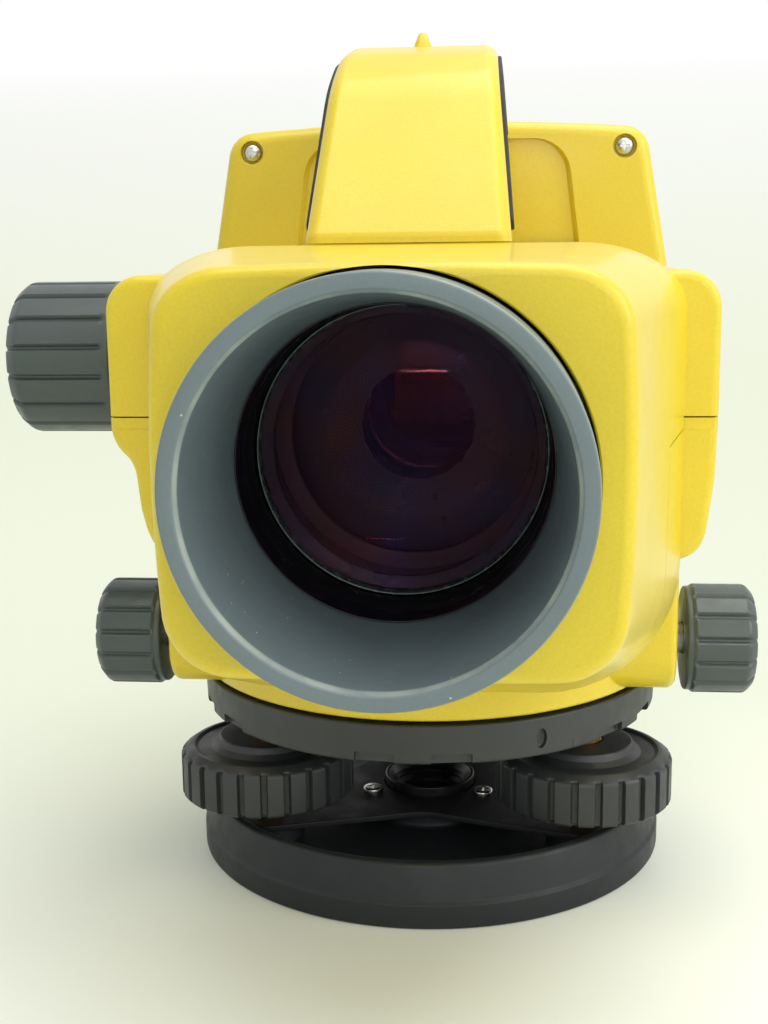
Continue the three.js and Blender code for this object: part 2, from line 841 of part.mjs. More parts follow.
// Spindle: root in the head, flange, seat for the friction wheel, and the journal
function spindle() {
  const hubTop = headLow + headThickness + headHubRise;
  const flangeLow = hubTop + fitGap;
  const flangeTop = flangeLow + spindleFlangeThickness;
  const seatTop = flangeTop + fitGap + wheelHubThickness + wheelFaceWidth + fitGap;
  return turned("z", [
    [0, hubTop - spindleRootDepth], [spindleRootRadius, hubTop - spindleRootDepth],
    [spindleRootRadius, flangeLow], [spindleFlangeRadius, flangeLow],
    [spindleFlangeRadius, flangeTop], [wheelSeatRadius, flangeTop],
    [wheelSeatRadius, seatTop], [journalRadius, seatTop], [journalRadius, journalTop],
    [spindleThreadRadius, journalTop],
    [spindleThreadRadius, journalTop + spindleThreadLength],
    [0, journalTop + spindleThreadLength],
  ], mediumSegments);
}

function spindleNut() {
  return tube("z", spindleNutRadius, spindleThreadRadius + fitGap, journalTop + fitGap,
    journalTop + fitGap + spindleNutThickness, mediumSegments);
}

// Horizontal circle ring, with pairs of grip notches round its lower edge
function circleRing() {
  const top = ringLow + ringHeight;
  const inner = (headRadius + slideGap) / Math.cos(Math.PI / fineSegments);
  let ring = turned("z", [
    [inner, ringLow], [ringRadius - ringBevel, ringLow], [ringRadius, ringLow + ringBevel],
    [ringRadius, top], [ringLipInner, top], [ringLipInner, top - ringLipThickness],
    [inner, top - ringLipThickness],
  ], fineSegments);
  for (let pair = 0; pair < ringNotchPairs; pair += 1) {
    for (const side of [-1, 1]) {
      const share = pair + side * ringNotchPairShare;
      const angle = (share / ringNotchPairs) * 2 * Math.PI - Math.PI / 2;
      ring = cut(ring, ringNotch(angle));
    }
  }
  return ring;
}

function ringNotch(angle) {
  const inner = ringRadius - ringNotchDepth;
  const outer = ringRadius + overrun;
  const geometry = new THREE.BoxGeometry(outer - inner, ringNotchWidth, ringNotchHeight + overrun);
  geometry.translate((outer + inner) / 2, 0, ringLow + (ringNotchHeight - overrun) / 2);
  geometry.rotateZ(angle);
  return toSolid(geometry);
}

// Friction wheel that the worm turns against, gripped on the spindle's seat
function wormWheel() {
  const low = headLow + headThickness + headHubRise + fitGap + spindleFlangeThickness + fitGap;
  const root = wheelPitchRadius - wheelDedendum;
  const tip = wheelPitchRadius + wheelAddendum;
  const teeth = gearOutline(wheelTeeth, root, tip, wheelToothShare, wheelToothShare, true);
  const faceLow = fineShaftHeight - wheelFaceWidth / 2;
  const crown = prism("z", teeth, faceLow, faceLow + wheelFaceWidth);
  const hub = rod("z", spindleFlangeRadius, low, faceLow + fitGap, mediumSegments);
  const seat = bore("z", wheelSeatRadius + fitGap, low - overrun, faceLow + wheelFaceWidth
    + overrun, mediumSegments);
  return cut(join(crown, hub), seat);
}

// Worm shaft: a plain shaft with a raised helical thread at the wheel
function wormShaft() {
  const place = [-fineShaftForward, fineShaftHeight];
  const reach = fineKnobReach - fineShaftInset;
  const lead = (2 * Math.PI * wheelPitchRadius) / wheelTeeth;
  const halfWorm = (wormTurns / 2) * lead;
  const shaft = rod("x", fineShaftRadius, -reach, reach, smallSegments, place);
  const coreHalf = halfWorm + lead;
  const core = rod("x", wormCoreRadius, -coreHalf, coreHalf, smallSegments, place);
  return join(shaft, core, wormThread(lead));
}

// Helical ridge about the shaft, built as one band of four-cornered sections
function wormThread(lead) {
  const positions = [];
  const index = [];
  const total = wormTurns * wormSteps;
  const half = (wormRidgeShare * lead) / 2;
  const sunk = wormCoreRadius - (wormTipRadius - wormCoreRadius);
  for (let i = 0; i <= total; i += 1) {
    const turn = i / wormSteps - wormTurns / 2;
    const angle = turn * 2 * Math.PI;
    const along = turn * lead;
    for (const [radius, side] of [[sunk, -1], [wormTipRadius, -1], [wormTipRadius, 1], [sunk, 1]]) {
      positions.push(along + side * half, -fineShaftForward + radius * Math.cos(angle),
        fineShaftHeight + radius * Math.sin(angle));
    }
  }
  for (let i = 0; i < total; i += 1) {
    for (let k = 0; k < 4; k += 1) {
      const here = 4 * i + k;
      const next = 4 * i + ((k + 1) % 4);
      index.push(here, here + 4, next + 4, here, next + 4, next);
    }
  }
  const first = [...Array(4).keys()];
  const last = first.map((k) => 4 * total + k).reverse();
  for (const [p, q, r, s] of [first, last]) index.push(p, q, r, p, r, s);
  const geometry = new THREE.BufferGeometry();
  geometry.setAttribute("position", new THREE.Float32BufferAttribute(positions, 3));
  geometry.setIndex(index);
  return toSolid(geometry);
}

// Fine-motion knob on one end of the worm shaft; side is -1 or 1 along X
function fineKnob(side) {
  const outline = groovedOutline(fineKnobRadius, fineGrooveDepth, fineGrooveCount,
    fineGrooveShare);
  const inner = fineKnobReach - fineKnobLength;
  const place = [-fineShaftForward, fineShaftHeight];
  const sections = [
    { at: inner, outline },
    { at: fineKnobReach - fineKnobDome, outline },
    { at: fineKnobReach, outline: scaled(outline, fineKnobTopShare) },
  ];
  const body = loft("x", sections.map(({ at, outline: ring }) => (
    { at: side * at, outline: shifted(ring, place[0], place[1]) })));
  const boreEnd = fineKnobReach - fineShaftInset + fitGap;
  const ends = [side * (inner - overrun), side * boreEnd].sort((p, q) => p - q);
  const hole = bore("x", fineShaftRadius + fitGap, ends[0], ends[1], smallSegments, place);
  return cut(body, hole);
}

// Body outline across X and Z below the split, from the flank shares
function lowerBodyOutline(inset) {
  const width = bodyHalfWidth - inset;
  const low = flankLow + inset;
  const height = splitHeight - low;
  const right = rightFlankShares.map(([wide, down]) => [width * wide, splitHeight - height * down]);
  const left = leftFlankShares.map(([wide, down]) => [-width * wide, splitHeight - height * down]);
  return [[-width, splitHeight], ...left, ...right.reverse()];
}

// Outline of the block's rear and of the deck; the hollow inside it stops above the web
function deckOutline(inset) {
  const low = inset > 0 ? webLow + webThickness + blockHollowRise : blockRearLow;
  return shifted(roundedOutline(deckHalfWidth - inset, low, deckTop - inset,
    [deckCornerWidth - inset, deckCornerHeight - inset], blockRearLowCorner - inset),
  blockShift, 0);
}

// Front block: rounded square that widens backward from the objective's face
function frontBlock(inset, front, edge) {
  const face = (more) => shifted(roundedOutline(blockFaceHalfWidth - inset - more,
    blockFaceLow + inset + more, blockFaceTop - inset - more,
    [blockFaceCornerWidth - more, blockFaceCornerHeight - more], blockFaceLowCorner - more),
  blockShift, 0);
  const rear = deckOutline(inset);
  const blend = (blockFront - front) / (blockFront - bodyFront);
  const mix = (outline) => outline.map(([u, v], i) => [
    u + (rear[i][0] - u) * blend, v + (rear[i][1] - v) * blend]);
  const sections = [
    { at: -front + edge, outline: mix(face(0)) },
    { at: -bodyFront, outline: rear },
    { at: -blockTail, outline: rear },
  ];
  if (edge > 0) sections.unshift({ at: -front, outline: mix(face(edge)) });
  return loft("y", sections);
}

// Everything inside the painted skin of the body, inset by a wall for the hollow
function bodyForm(inset, front, edge, rear) {
  const start = -bodyFront + inset;
  const corner = shoulderCorner - inset / 2;
  const seam = splitHeight - splitGap;
  const upper = prism("y", roundedOutline(bodyHalfWidth - inset, seam, shoulderTop - inset,
    [corner, corner], fitGap), start, bodyRearFront + rear);
  const deckTail = prism("y", deckOutline(inset).filter(([, z]) => z > seam),
    -blockTail - fitGap, bodyRearFront + rear);
  const lower = prism("y", lowerBodyOutline(inset), start, bodyRear + rear);
  return join(frontBlock(inset, front, edge), deckTail, upper, lower);
}

// Side-view outline, along Y and Z, of all that belongs to the lower housing: the parting
// line steps down at the block and drops a little toward its front
function lowerRegion(gap) {
  const far = baseRadius * 3;
  return prism("x", [[-partingForward + gap, 0], [far, 0], [far, splitHeight - gap],
    [-bodyFront + gap, splitHeight - gap], [-bodyFront + gap, splitHeight - partingStep - gap],
    [-partingForward + gap, splitHeight - partingDrop - gap]], -far, far);
}

function lowerHousing() {
  const lowBox = prism("x", roundedBarrel(0), -lowerBoxHalfWidth, lowerBoxHalfWidth);
  const turret = rod("z", turretRadius, turretLow, turretTop, fineSegments);
  let shell = join(bodyForm(0, blockFront, blockEdge, 0), lowBox, turret);
  const cavity = join(bodyForm(wall, blockCavityFront, 0, overrun),
    block(wall - lowerBoxHalfWidth, lowerBoxHalfWidth - wall, wall - lowerBoxFront,
      lowerBoxFront - wall, webLow + webThickness, lowerBoxTop + wall));
  shell = cut(shell, cavity);
  const under = rod("z", turretRadius - wall, turretLow + turretFloor, webLow, fineSegments);
  const mouth = rod("z", turretMouthRadius, turretLow - overrun, turretLow + turretFloor
    + overrun, mediumSegments);
  const boss = rod("z", sleeveBossRadius, sleeveBossLow, sleeveBossHigh, mediumSegments);
  const sleeveSeat = bore("z", sleeveRadius + fitGap, sleeveBossLow - overrun, sleeveBossHigh
    + overrun, mediumSegments);
  shell = cut(join(cut(shell, under, mouth), boss, splitterPedestal(), batteryBay()), sleeveSeat);
  shell = shell.intersect(lowerRegion(splitGap / 2));
  const shaftPlace = [-fineShaftForward, fineShaftHeight];
  const shaftHole = bore("x", fineShaftRadius + slideGap, -lowerBoxHalfWidth - overrun,
    lowerBoxHalfWidth + overrun, smallSegments, shaftPlace);
  const socketHole = bore("x", socketRadius + fitGap, -bodyHalfWidth - overrun,
    -bodyHalfWidth + socketDepth + wall + overrun, mediumSegments, [socketBack, socketHeight]);
  return cut(shell, shaftHole, socketHole, batterySpace(), doorOpening(fitGap));
}

// Barrel that carries the fine-motion shaft, in side view along Y and Z
function roundedBarrel(inset) {
  const halfDepth = lowerBoxFront - inset;
  return roundedOutline(halfDepth, lowerBoxLow + inset, lowerBoxTop, [fitGap, fitGap],
    lowerBoxCorner - inset);
}

function splitterPedestal() {
  const half = splitterHalf + pedestalMargin;
  const rear = splitterFront + 2 * splitterHalf + pedestalMargin;
  return block(-half, half, splitterFront - pedestalMargin, rear, flankLow + wall / 2,
    axisHeight - splitterHalf - fitGap);
}

// Battery bay: a thin-walled box inside the right flank, open to the outside
function batteryBay() {
  const more = bayClearance + bayWall;
  return block(batteryInner - more, bodyHalfWidth - wall, batteryStart - more,
    batteryStart + batteryLength + more, flankLow + wall / 2, splitHeight);
}

function batterySpace() {
  const low = doorHigh - batteryHeight - bayClearance;
  return block(batteryInner - bayClearance, bodyHalfWidth + overrun, batteryStart - bayClearance,
    batteryStart + batteryLength + bayClearance, low - bayClearance, doorHigh);
}

function battery() {
  const low = doorHigh - batteryHeight - bayClearance;
  return block(batteryInner, batteryInner + batteryWidth, batteryStart,
    batteryStart + batteryLength, low, low + batteryHeight);
}

// Opening for the door's plate and its hinge barrel, grown by a gap
function doorOpening(gap) {
  const start = batteryStart - doorMargin - gap;
  const end = batteryStart + batteryLength + doorMargin + gap;
  const plate = block(bodyHalfWidth - wall - gap, bodyHalfWidth + overrun, start, end,
    doorHingeHeight, doorHigh + gap);
  const pocket = rod("y", doorPocketRadius + gap, start, end, smallSegments,
    [doorHingeSide, doorHingeHeight]);
  return join(plate, pocket);
}

// Battery door: a piece of the right flank with a hinge barrel along its lower edge
function batteryDoor() {
  const start = batteryStart - doorMargin;
  const end = batteryStart + batteryLength + doorMargin;
  const skin = prism("y", lowerBodyOutline(0), start, end);
  const slab = block(bodyHalfWidth - doorThickness, bodyHalfWidth + overrun, start, end,
    doorHingeHeight + doorBarrelRadius / 2, doorHigh);
  const middle = (start + end) / 2;
  const half = ((end - start) * doorBarrelShare) / 2;
  const barrel = rod("y", doorBarrelRadius, middle - half, middle + half, smallSegments,
    [doorHingeSide, doorHingeHeight]);
  return join(skin.intersect(slab), barrel);
}

function upperHousing() {
  let shell = cut(bodyForm(0, blockFront, blockEdge, 0),
    bodyForm(wall, blockCavityFront, 0, overrun));
  shell = cut(shell, lowerRegion(-splitGap / 2));
  const rearCut = block(-bodyHalfWidth - overrun, bodyHalfWidth + overrun, bodyRearFront
    - splitGap, bodyRear + overrun, splitHeight - overrun, displayTop);
  const hoodBore = bore("y", hoodBoreRadius, -blockFront - overrun, -hoodSeat, fineSegments,
    [0, axisHeight]);
  const cellBore = bore("y", cellRadius + fitGap, -hoodSeat - overrun, -blockCavityFront
    + overrun, mediumSegments, [0, axisHeight]);
  const focusHole = bore("x", focusBushRadius + fitGap, -bodyHalfWidth - overrun,
    -bodyHalfWidth + wall + overrun, mediumSegments, [-focusForward, focusHeight]);
  const keyHole = bore("x", measureKeyRadius + slideGap, -bodyHalfWidth - overrun,
    -bodyHalfWidth + wall + overrun, mediumSegments, [measureKeyBack, focusHeight]);
  return cut(shell, rearCut, hoodBore, cellBore, focusHole, keyHole);
}

function bearingSleeve() {
  return tube("z", sleeveRadius, journalRadius + slideGap, sleeveLow, sleeveHigh,
    mediumSegments);
}

// Hood: a thick-walled cone mouth screwed into the front block
function hood() {
  const rear = -hoodRear;
  return turned("y", [
    [hoodThroatRadius, rear], [hoodRadius, rear], [hoodRadius, -hoodReach + hoodRimEdge],
    [hoodRadius - hoodRimEdge, -hoodReach], [hoodMouthRadius + hoodRimEdge, -hoodReach],
    [hoodMouthRadius, -hoodReach + hoodRimEdge], [hoodThroatRadius, -hoodThroatFront],
  ], fineSegments, [0, axisHeight]);
}

// Objective cell: a barrel with a floor that the lens seats against
function objectiveCell() {
  return turned("y", [
    [cellBoreRadius, -cellFront], [cellRadius, -cellFront], [cellRadius, -cellRear],
    [cellRearBore, -cellRear], [cellRearBore, -cellRear - cellFloor],
    [cellBoreRadius, -cellRear - cellFloor],
  ], mediumSegments, [0, axisHeight]);
}

function retainingRing() {
  const outer = cellBoreRadius - fitGap;
  const rear = -lensFront - 2 * fitGap;
  return tube("y", outer, outer - retainingWidth, rear - retainingThickness, rear,
    mediumSegments, [0, axisHeight]);
}

// Objective lens with a crowned front face
function objectiveLens() {
  const front = -lensFront;
  const profile = [[0, -lensRear], [lensRadius, -lensRear], [lensRadius, front]];
  const steps = 2 * cornerSteps;
  for (let i = 1; i <= steps; i += 1) {
    const share = i / steps;
    profile.push([lensRadius * (1 - share), front - lensCrown * (1 - (1 - share) ** 2)]);
  }
  return turned("y", profile, mediumSegments, [0, axisHeight]);
}

// Telescope tube with a baffle ring in front of the focusing carriage's travel
function telescopeTube() {
  const baffleRear = -focusForward - carriageHalfLength - carriageTravel - 2 * fitGap;
  const baffleFront = baffleRear - baffleThickness;
  const whole = turned("y", [
    [tubeFrontBore, -cellRear + fitGap], [tubeOuter, -cellRear + fitGap],
    [tubeOuter, tubeRear], [tubeInner, tubeRear], [tubeInner, baffleRear],
    [baffleRadius, baffleRear], [baffleRadius, baffleFront], [tubeFrontBore, baffleFront],
  ], mediumSegments, [0, axisHeight]);
  const hole = bore("x", pinionPitchRadius + toothAddendum + fitGap, -tubeOuter - overrun,
    fitGap - pinionInner, smallSegments, [-focusForward, focusHeight]);
  return cut(whole, hole);
}

// Focusing knob: grooved grip, a plain collar beside the housing, and a domed end
function focusKnob() {
  const outline = groovedOutline(focusKnobRadius, focusGrooveDepth, focusGrooveCount,
    focusGrooveShare);
  const inner = -focusKnobReach + focusKnobLength;
  const place = [-focusForward, focusHeight];
  const grip = loft("x", [
    { at: inner - focusKnobCollarLength, outline },
    { at: -focusKnobReach + focusKnobDome, outline },
    { at: -focusKnobReach, outline: scaled(outline, focusKnobTopShare) },
  ].map(({ at, outline: ring }) => ({ at, outline: shifted(ring, place[0], place[1]) })));
  const collar = rod("x", focusKnobCollarRadius, inner - 2 * focusKnobCollarLength, inner,
    mediumSegments, place);
  const hole = bore("x", focusShaftRadius + fitGap, -focusKnobReach + focusKnobCap, inner
    + overrun, smallSegments, place);
  return cut(join(grip, collar), hole);
}

// Shaft with the pinion that moves the focusing carriage's rack
function focusShaft() {
  const place = [-focusForward, focusHeight];
  const pinionStart = -pinionInner - pinionLength;
  const shaft = rod("x", focusShaftRadius, -focusKnobReach + focusKnobCap + fitGap, -pinionInner,
    smallSegments, place);
  const root = pinionPitchRadius - toothDedendum;
  const tip = pinionPitchRadius + toothAddendum;
  const gear = gearOutline(pinionTeeth, root, tip, toothRootShare, toothTipShare, false);
  const turnedDown = gear.map(([u, v]) => [v, -u]);
  const pinion = prism("x", shifted(turnedDown, place[0], place[1]), pinionStart, -pinionInner);
  return join(shaft, pinion);
}

function focusBush() {
  const outer = -bodyHalfWidth - fitGap;
  const profile = [
    [focusShaftRadius + slideGap, outer - focusBushFlangeThickness],
    [focusBushFlange, outer - focusBushFlangeThickness], [focusBushFlange, outer],
    [focusBushRadius, outer], [focusBushRadius, outer + focusBushDepth],
    [focusShaftRadius + slideGap, outer + focusBushDepth],
  ];
  return turned("x", profile, mediumSegments, [-focusForward, focusHeight]);
}

// Focusing carriage: two guide rings on a tube, and the rack that the pinion drives
function focusCarriage() {
  const place = [0, axisHeight];
  const middle = -focusForward;
  const start = middle - carriageHalfLength;
  const end = middle + carriageHalfLength;
  const barrel = tube("y", carriageTubeOuter, carriageTubeInner, start, end, mediumSegments, place);
  const inner = carriageTubeOuter - fitGap;
  const frontRing = tube("y", carriageRingRadius, inner, start, start + carriageRingThickness,
    mediumSegments, place);
  const rearRing = tube("y", carriageRingRadius, inner, end - carriageRingThickness, end,
    mediumSegments, place);
  const pitchLine = focusHeight - pinionPitchRadius;
  const root = pitchLine - toothDedendum;
  const barInner = -pinionInner + (rackBarWidth - pinionLength) / 2;
  const bar = block(barInner - rackBarWidth, barInner, start + fitGap, end - fitGap,
    root - rackBarHeight, root);
  const bridge = block(barInner - rackBarWidth, -carriageTubeInner / 2, middle - rackBarHeight,
    middle + rackBarHeight, root - rackBarHeight, root - rackBarHeight / 2);
  const bridgeClear = rod("y", carriageTubeInner, start - overrun, end + overrun, mediumSegments,
    place);
  return join(barrel, frontRing, rearRing, bar, cut(bridge, bridgeClear),
    rackRow(barInner, root, pitchLine));
}

function rackRow(barInner, root, pitchLine) {
  const pitch = (2 * Math.PI * pinionPitchRadius) / pinionTeeth;
  const tip = pitchLine + toothAddendum;
  const halfRoot = (toothRootShare * pitch) / 2;
  const halfTip = (toothTipShare * pitch) / 2;
  let row = null;
  for (let i = 0; i < rackTeeth; i += 1) {
    const centre = -focusForward + (i - (rackTeeth - 1) / 2) * pitch;
    const outline = [[centre - halfRoot, root - fitGap], [centre + halfRoot, root - fitGap],
      [centre + halfTip, tip], [centre - halfTip, tip]];
    const tooth = prism("x", outline, barInner - rackBarWidth, barInner);
    row = row ? join(row, tooth) : tooth;
  }
  return row;
}

function focusingLens() {
  const middle = -focusForward;
  return rod("y", focusingLensRadius, middle - focusingLensThickness / 2,
    middle + focusingLensThickness / 2, mediumSegments, [0, axisHeight]);
}

// Compensator frame: a disc on the tube's end, and a yoke open at the back and below
function compensatorFrame() {
  const start = tubeRear + fitGap;
  const place = [0, axisHeight];
  const disc = rod("y", frameDiscRadius, start, start + frameWall, mediumSegments, place);
  const yoke = block(-frameHalfWidth, frameHalfWidth, start, frameRear, frameLow, frameHigh);
  const inner = frameHalfWidth - frameWall;
  const hollow = block(-inner, inner, start + 2 * frameWall, frameRear + overrun,
    frameLow - overrun, frameHigh - frameWall);
  const passage = bore("y", frameDiscBore, start - overrun, start + 2 * frameWall + overrun,
    mediumSegments, place);
  const pivots = bore("x", pendulumPivotRadius + fitGap, -frameHalfWidth - overrun,
    frameHalfWidth + overrun, smallSegments, [pendulumPivotBack, pendulumPivotHeight]);
  return cut(join(disc, yoke), hollow, passage, pivots);
}

// Pendulum prism carrier, hung on its pivots across the line of sight
function pendulum() {
  const back = pendulumPivotBack;
  const body = block(-pendulumHalfWidth, pendulumHalfWidth, back - pendulumHalfDepth,
    back + pendulumHalfDepth, pendulumLow, pendulumHigh);
  const slot = block(-pendulumHalfWidth - overrun, pendulumHalfWidth + overrun,
    back - pendulumSlot, back + pendulumSlot, axisHeight + splitterHalf,
    pendulumPivotHeight - 2 * pendulumPivotRadius);
  const pivotReach = frameHalfWidth - frameWall / 2;
  const pivots = rod("x", pendulumPivotRadius, -pivotReach, pivotReach, smallSegments,
    [back, pendulumPivotHeight]);
  return join(cut(body, slot), pivots);
}

function beamSplitter() {
  return block(-splitterHalf, splitterHalf, splitterFront, splitterFront + 2 * splitterHalf,
    axisHeight - splitterHalf, axisHeight + splitterHalf);
}

function sensorBoard() {
  const start = splitterHalf + fitGap;
  const half = splitterHalf + sensorMargin;
  const middle = splitterFront + splitterHalf;
  return block(start, start + sensorThickness, middle - half, middle + half,
    axisHeight - splitterHalf, axisHeight + half);
}

function mainBoard() {
  const low = webLow + webThickness + fitGap;
  const board = block(-boardHalfWidth, boardHalfWidth, -boardHalfDepth, boardHalfDepth, low,
    low + boardThickness);
  const hole = bore("z", sleeveBossRadius + pedestalMargin, low - overrun, low + boardThickness
    + overrun, mediumSegments);
  return cut(board, hole);
}

// Eyepiece tube, with the flange that seats on the rear panel
function eyepieceTube() {
  return turned("y", [
    [eyeTubeInner, eyeTubeFront], [eyeTubeOuter, eyeTubeFront], [eyeTubeOuter, eyeSeat],
    [eyeFlangeRadius, eyeSeat], [eyeFlangeRadius, eyeSeat + eyeFlangeThickness],
    [eyeTubeOuter, eyeSeat + eyeFlangeThickness], [eyeTubeOuter, eyeTubeRear],
    [eyeTubeInner, eyeTubeRear],
  ], mediumSegments, [0, axisHeight]);
}

// Dioptre ring with finger grooves
function eyepieceRing() {
  const start = eyeRingStart;
  const outline = shifted(groovedOutline(eyeRingOuter, eyeGrooveDepth, eyeGrooveCount,
    eyeGrooveShare), 0, axisHeight);
  const body = prism("y", outline, start, start + eyeRingLength);
  const hole = bore("y", eyeTubeOuter + slideGap, start - overrun, start + eyeRingLength
    + overrun, mediumSegments, [0, axisHeight]);
  return cut(body, hole);
}

// Rubber eye cup, a flared mouth on the dioptre ring's end
function eyeCup() {
  const start = eyeCupStart;
  return turned("y", [
    [eyeCupInner, start], [eyeCupOuter, start], [eyeCupOuter, eyepieceReach - eyeCupFlare],
    [eyeCupMouth, eyepieceReach], [eyeCupInner, eyepieceReach - eyeCupFlare],
  ], mediumSegments, [0, axisHeight]);
}

// Eyepiece lens cell, with its lens as a floor across the front
function eyepieceCell() {
  return turned("y", [
    [0, eyeCellFront], [eyeCellRadius, eyeCellFront],
    [eyeCellRadius, eyeCellFront + eyeCellLength], [eyeCellBore, eyeCellFront + eyeCellLength],
    [eyeCellBore, eyeCellFront + eyeCellFloor], [0, eyeCellFront + eyeCellFloor],
  ], mediumSegments, [0, axisHeight]);
}

// Outline of the display housing's face, wide at the split and narrower at its crowned top
function displayOutline(inset, low) {
  const lowHalf = bodyHalfWidth - displayLowInset - inset;
  const topHalf = displayTopHalfWidth - inset;
  const sideTop = displaySideTop - inset;
  const crown = displayTop - inset;
  const corner = displayCorner - inset;
  const outline = [[lowHalf, low], [lowHalf, shoulderTop]];
  for (let i = 0; i <= cornerSteps; i += 1) {
    const angle = (i / cornerSteps) * (Math.PI / 2);
    outline.push([topHalf - corner + corner * Math.cos(angle),
      sideTop - corner + corner * Math.sin(angle)]);
  }
  outline.push([topHalf / 2, (sideTop + 2 * crown) / 3], [0, crown]);
  const mirrored = outline.slice(0, -1).reverse().map(([x, z]) => [-x, z]);
  return [...outline, ...mirrored];
}

// Display housing: the yellow shell that stands over the eyepiece end
function displayHousing() {
  const low = splitHeight + splitGap / 2;
  const start = bodyRearFront;
  const shell = loft("y", [
    { at: start, outline: displayOutline(displayEdge, low) },
    { at: start + displayEdge, outline: displayOutline(0, low) },
    { at: bodyRear, outline: displayOutline(0, low) },
  ]);
  const hollow = prism("y", displayOutline(wall, low - overrun), start + wall + displayStepDepth,
    bodyRear + overrun);
  const step = prism("y", [[-displayStepLowHalfWidth, displayStepLow],
    [displayStepLowHalfWidth, displayStepLow], [displayStepHighHalfWidth, displayStepHigh],
    [-displayStepHighHalfWidth, displayStepHigh]], start - overrun, start + displayStepDepth);
  const passage = bore("y", frameDiscRadius, start - overrun, start + 2 * wall + overrun,
    mediumSegments, [0, axisHeight]);
  let whole = cut(shell, hollow, step, passage);
  for (const side of [-1, 1]) {
    const place = [side * screwSide, screwHeight];
    const pocket = rod("y", screwPocketRadius, start - overrun, start + screwPocketDepth,
      smallSegments, place);
    const hole = bore("y", screwShankRadius + fitGap, start, start + 2 * wall + overrun,
      smallSegments, place);
    whole = cut(whole, pocket, hole);
  }
  return whole;
}

function displayScrew(side) {
  const head = bodyRearFront + screwPocketDepth - fitGap;
  const place = [side * screwSide, screwHeight];
  return turned("y", [
    [0, head - screwHeadThickness], [screwHeadRadius, head - screwHeadThickness / 2],
    [screwHeadRadius, head], [screwShankRadius, head],
    [screwShankRadius, bodyRearFront + 2 * wall + displayStepDepth],
    [0, bodyRearFront + 2 * wall + displayStepDepth],
  ], smallSegments, place);
}

const keyNames = ["power_key", "menu_key", "escape_key", "up_key", "down_key", "enter_key"];

function keyPlaces() {
  const rows = keyNames.length / 2;
  const outer = bodyHalfWidth - keyColumnInset;
  return keyNames.map((name, i) => {
    const x = i < rows ? keyColumnPitch - outer : -outer;
    const up = rows - 1 - (i % rows);
    return { name, x, z: splitHeight + keyRowRise - up * keyRowPitch };
  });
}

// Rear panel: keypad and display surround, with the circular level's recess moulded in
function rearPanel() {
  const front = bodyRear + splitGap;
  const rear = front + panelThickness;
  const outline = (inset) => displayOutline(panelInset + inset, panelLow + inset);
  let panel = loft("y", [
    { at: front, outline: outline(0) },
    { at: rear - panelEdge, outline: outline(0) },
    { at: rear, outline: outline(panelEdge) },
  ]).intersect(panelFlanks());
  const more = vialRecessWall;
  const recessOuter = block(vialSide - vialRecessHalfWidth - more,
    vialSide + vialRecessHalfWidth + more, vialRecessFront - more, front + overrun,
    vialRecessLow - more, vialRecessHigh + more);
  const recess = block(vialSide - vialRecessHalfWidth, vialSide + vialRecessHalfWidth,
    vialRecessFront, rear + overrun, vialRecessLow, vialRecessHigh);
  panel = cut(join(panel, recessOuter), recess);
  const eyeHole = bore("y", eyeTubeOuter + fitGap, front - overrun, rear + overrun,
    mediumSegments, [0, axisHeight]);
  const sill = windowHalfWidth - windowLedge;
  const windowHole = block(-sill, sill, front - overrun, rear + overrun, windowLow + windowLedge,
    windowHigh - windowLedge);
  const windowSeat = block(-windowHalfWidth - fitGap, windowHalfWidth + fitGap,
    rear - windowRecess - windowThickness - fitGap, rear + overrun, windowLow - fitGap,
    windowHigh + fitGap);
  panel = cut(panel, eyeHole, windowHole, windowSeat);
  for (const { x, z } of keyPlaces()) {
    panel = cut(panel, keyBlock(x, z, slideGap, front - overrun, rear + overrun));
  }
  return panel;
}

// Trims the panel's lower half to the flanks of the lower housing
function panelFlanks() {
  const low = lowerBodyOutline(panelInset);
  const right = low.filter(([x]) => x > 0);
  const left = low.filter(([x]) => x < 0);
  const top = displayTop + overrun;
  const reach = bodyHalfWidth + overrun;
  const outline = [...left, ...right, [reach, splitHeight], [reach, top], [-reach, top],
    [-reach, splitHeight]];
  return prism("y", outline, bodyRear, bodyRear + 2 * panelThickness);
}

function keyBlock(x, z, grow, start, end) {
  const half = keyWidth / 2 + grow;
  const tall = keyHeight / 2 + grow;
  return block(x - half, x + half, start, end, z - tall, z + tall);
}

// Rubber key with a flange behind the panel
function key({ x, z }) {
  const back = bodyRear + splitGap - fitGap;
  const face = bodyRear + splitGap + panelThickness + keyProud;
  const flange = block(x - keyWidth / 2 - keyFlange, x + keyWidth / 2 + keyFlange,
    back - keyFlangeThickness, back, z - keyHeight / 2 - keyFlange, z + keyHeight / 2 + keyFlange);
  return join(keyBlock(x, z, 0, back - fitGap, face), flange);
}

function displayWindow() {
  const face = bodyRear + splitGap + panelThickness - windowRecess;
  return block(-windowHalfWidth, windowHalfWidth, face - windowThickness, face, windowLow,
    windowHigh);
}

function displayModule() {
  const half = windowHalfWidth + moduleMargin;
  const rear = bodyRear + splitGap - fitGap;
  return block(-half, half, rear - moduleThickness, rear, windowLow - moduleMargin,
    windowHigh + moduleMargin);
}

function levelVial() {
  const low = vialRecessLow + fitGap;
  const rim = vialRadius / cornerSteps;
  return turned("z", [
    [0, low], [vialRadius, low], [vialRadius, low + vialHeight - fitGap],
    [vialRadius - fitGap, low + vialHeight], [rim, low + vialHeight + fitGap],
    [0, low + vialHeight + fitGap],
  ], mediumSegments, [vialSide, vialBack]);
}

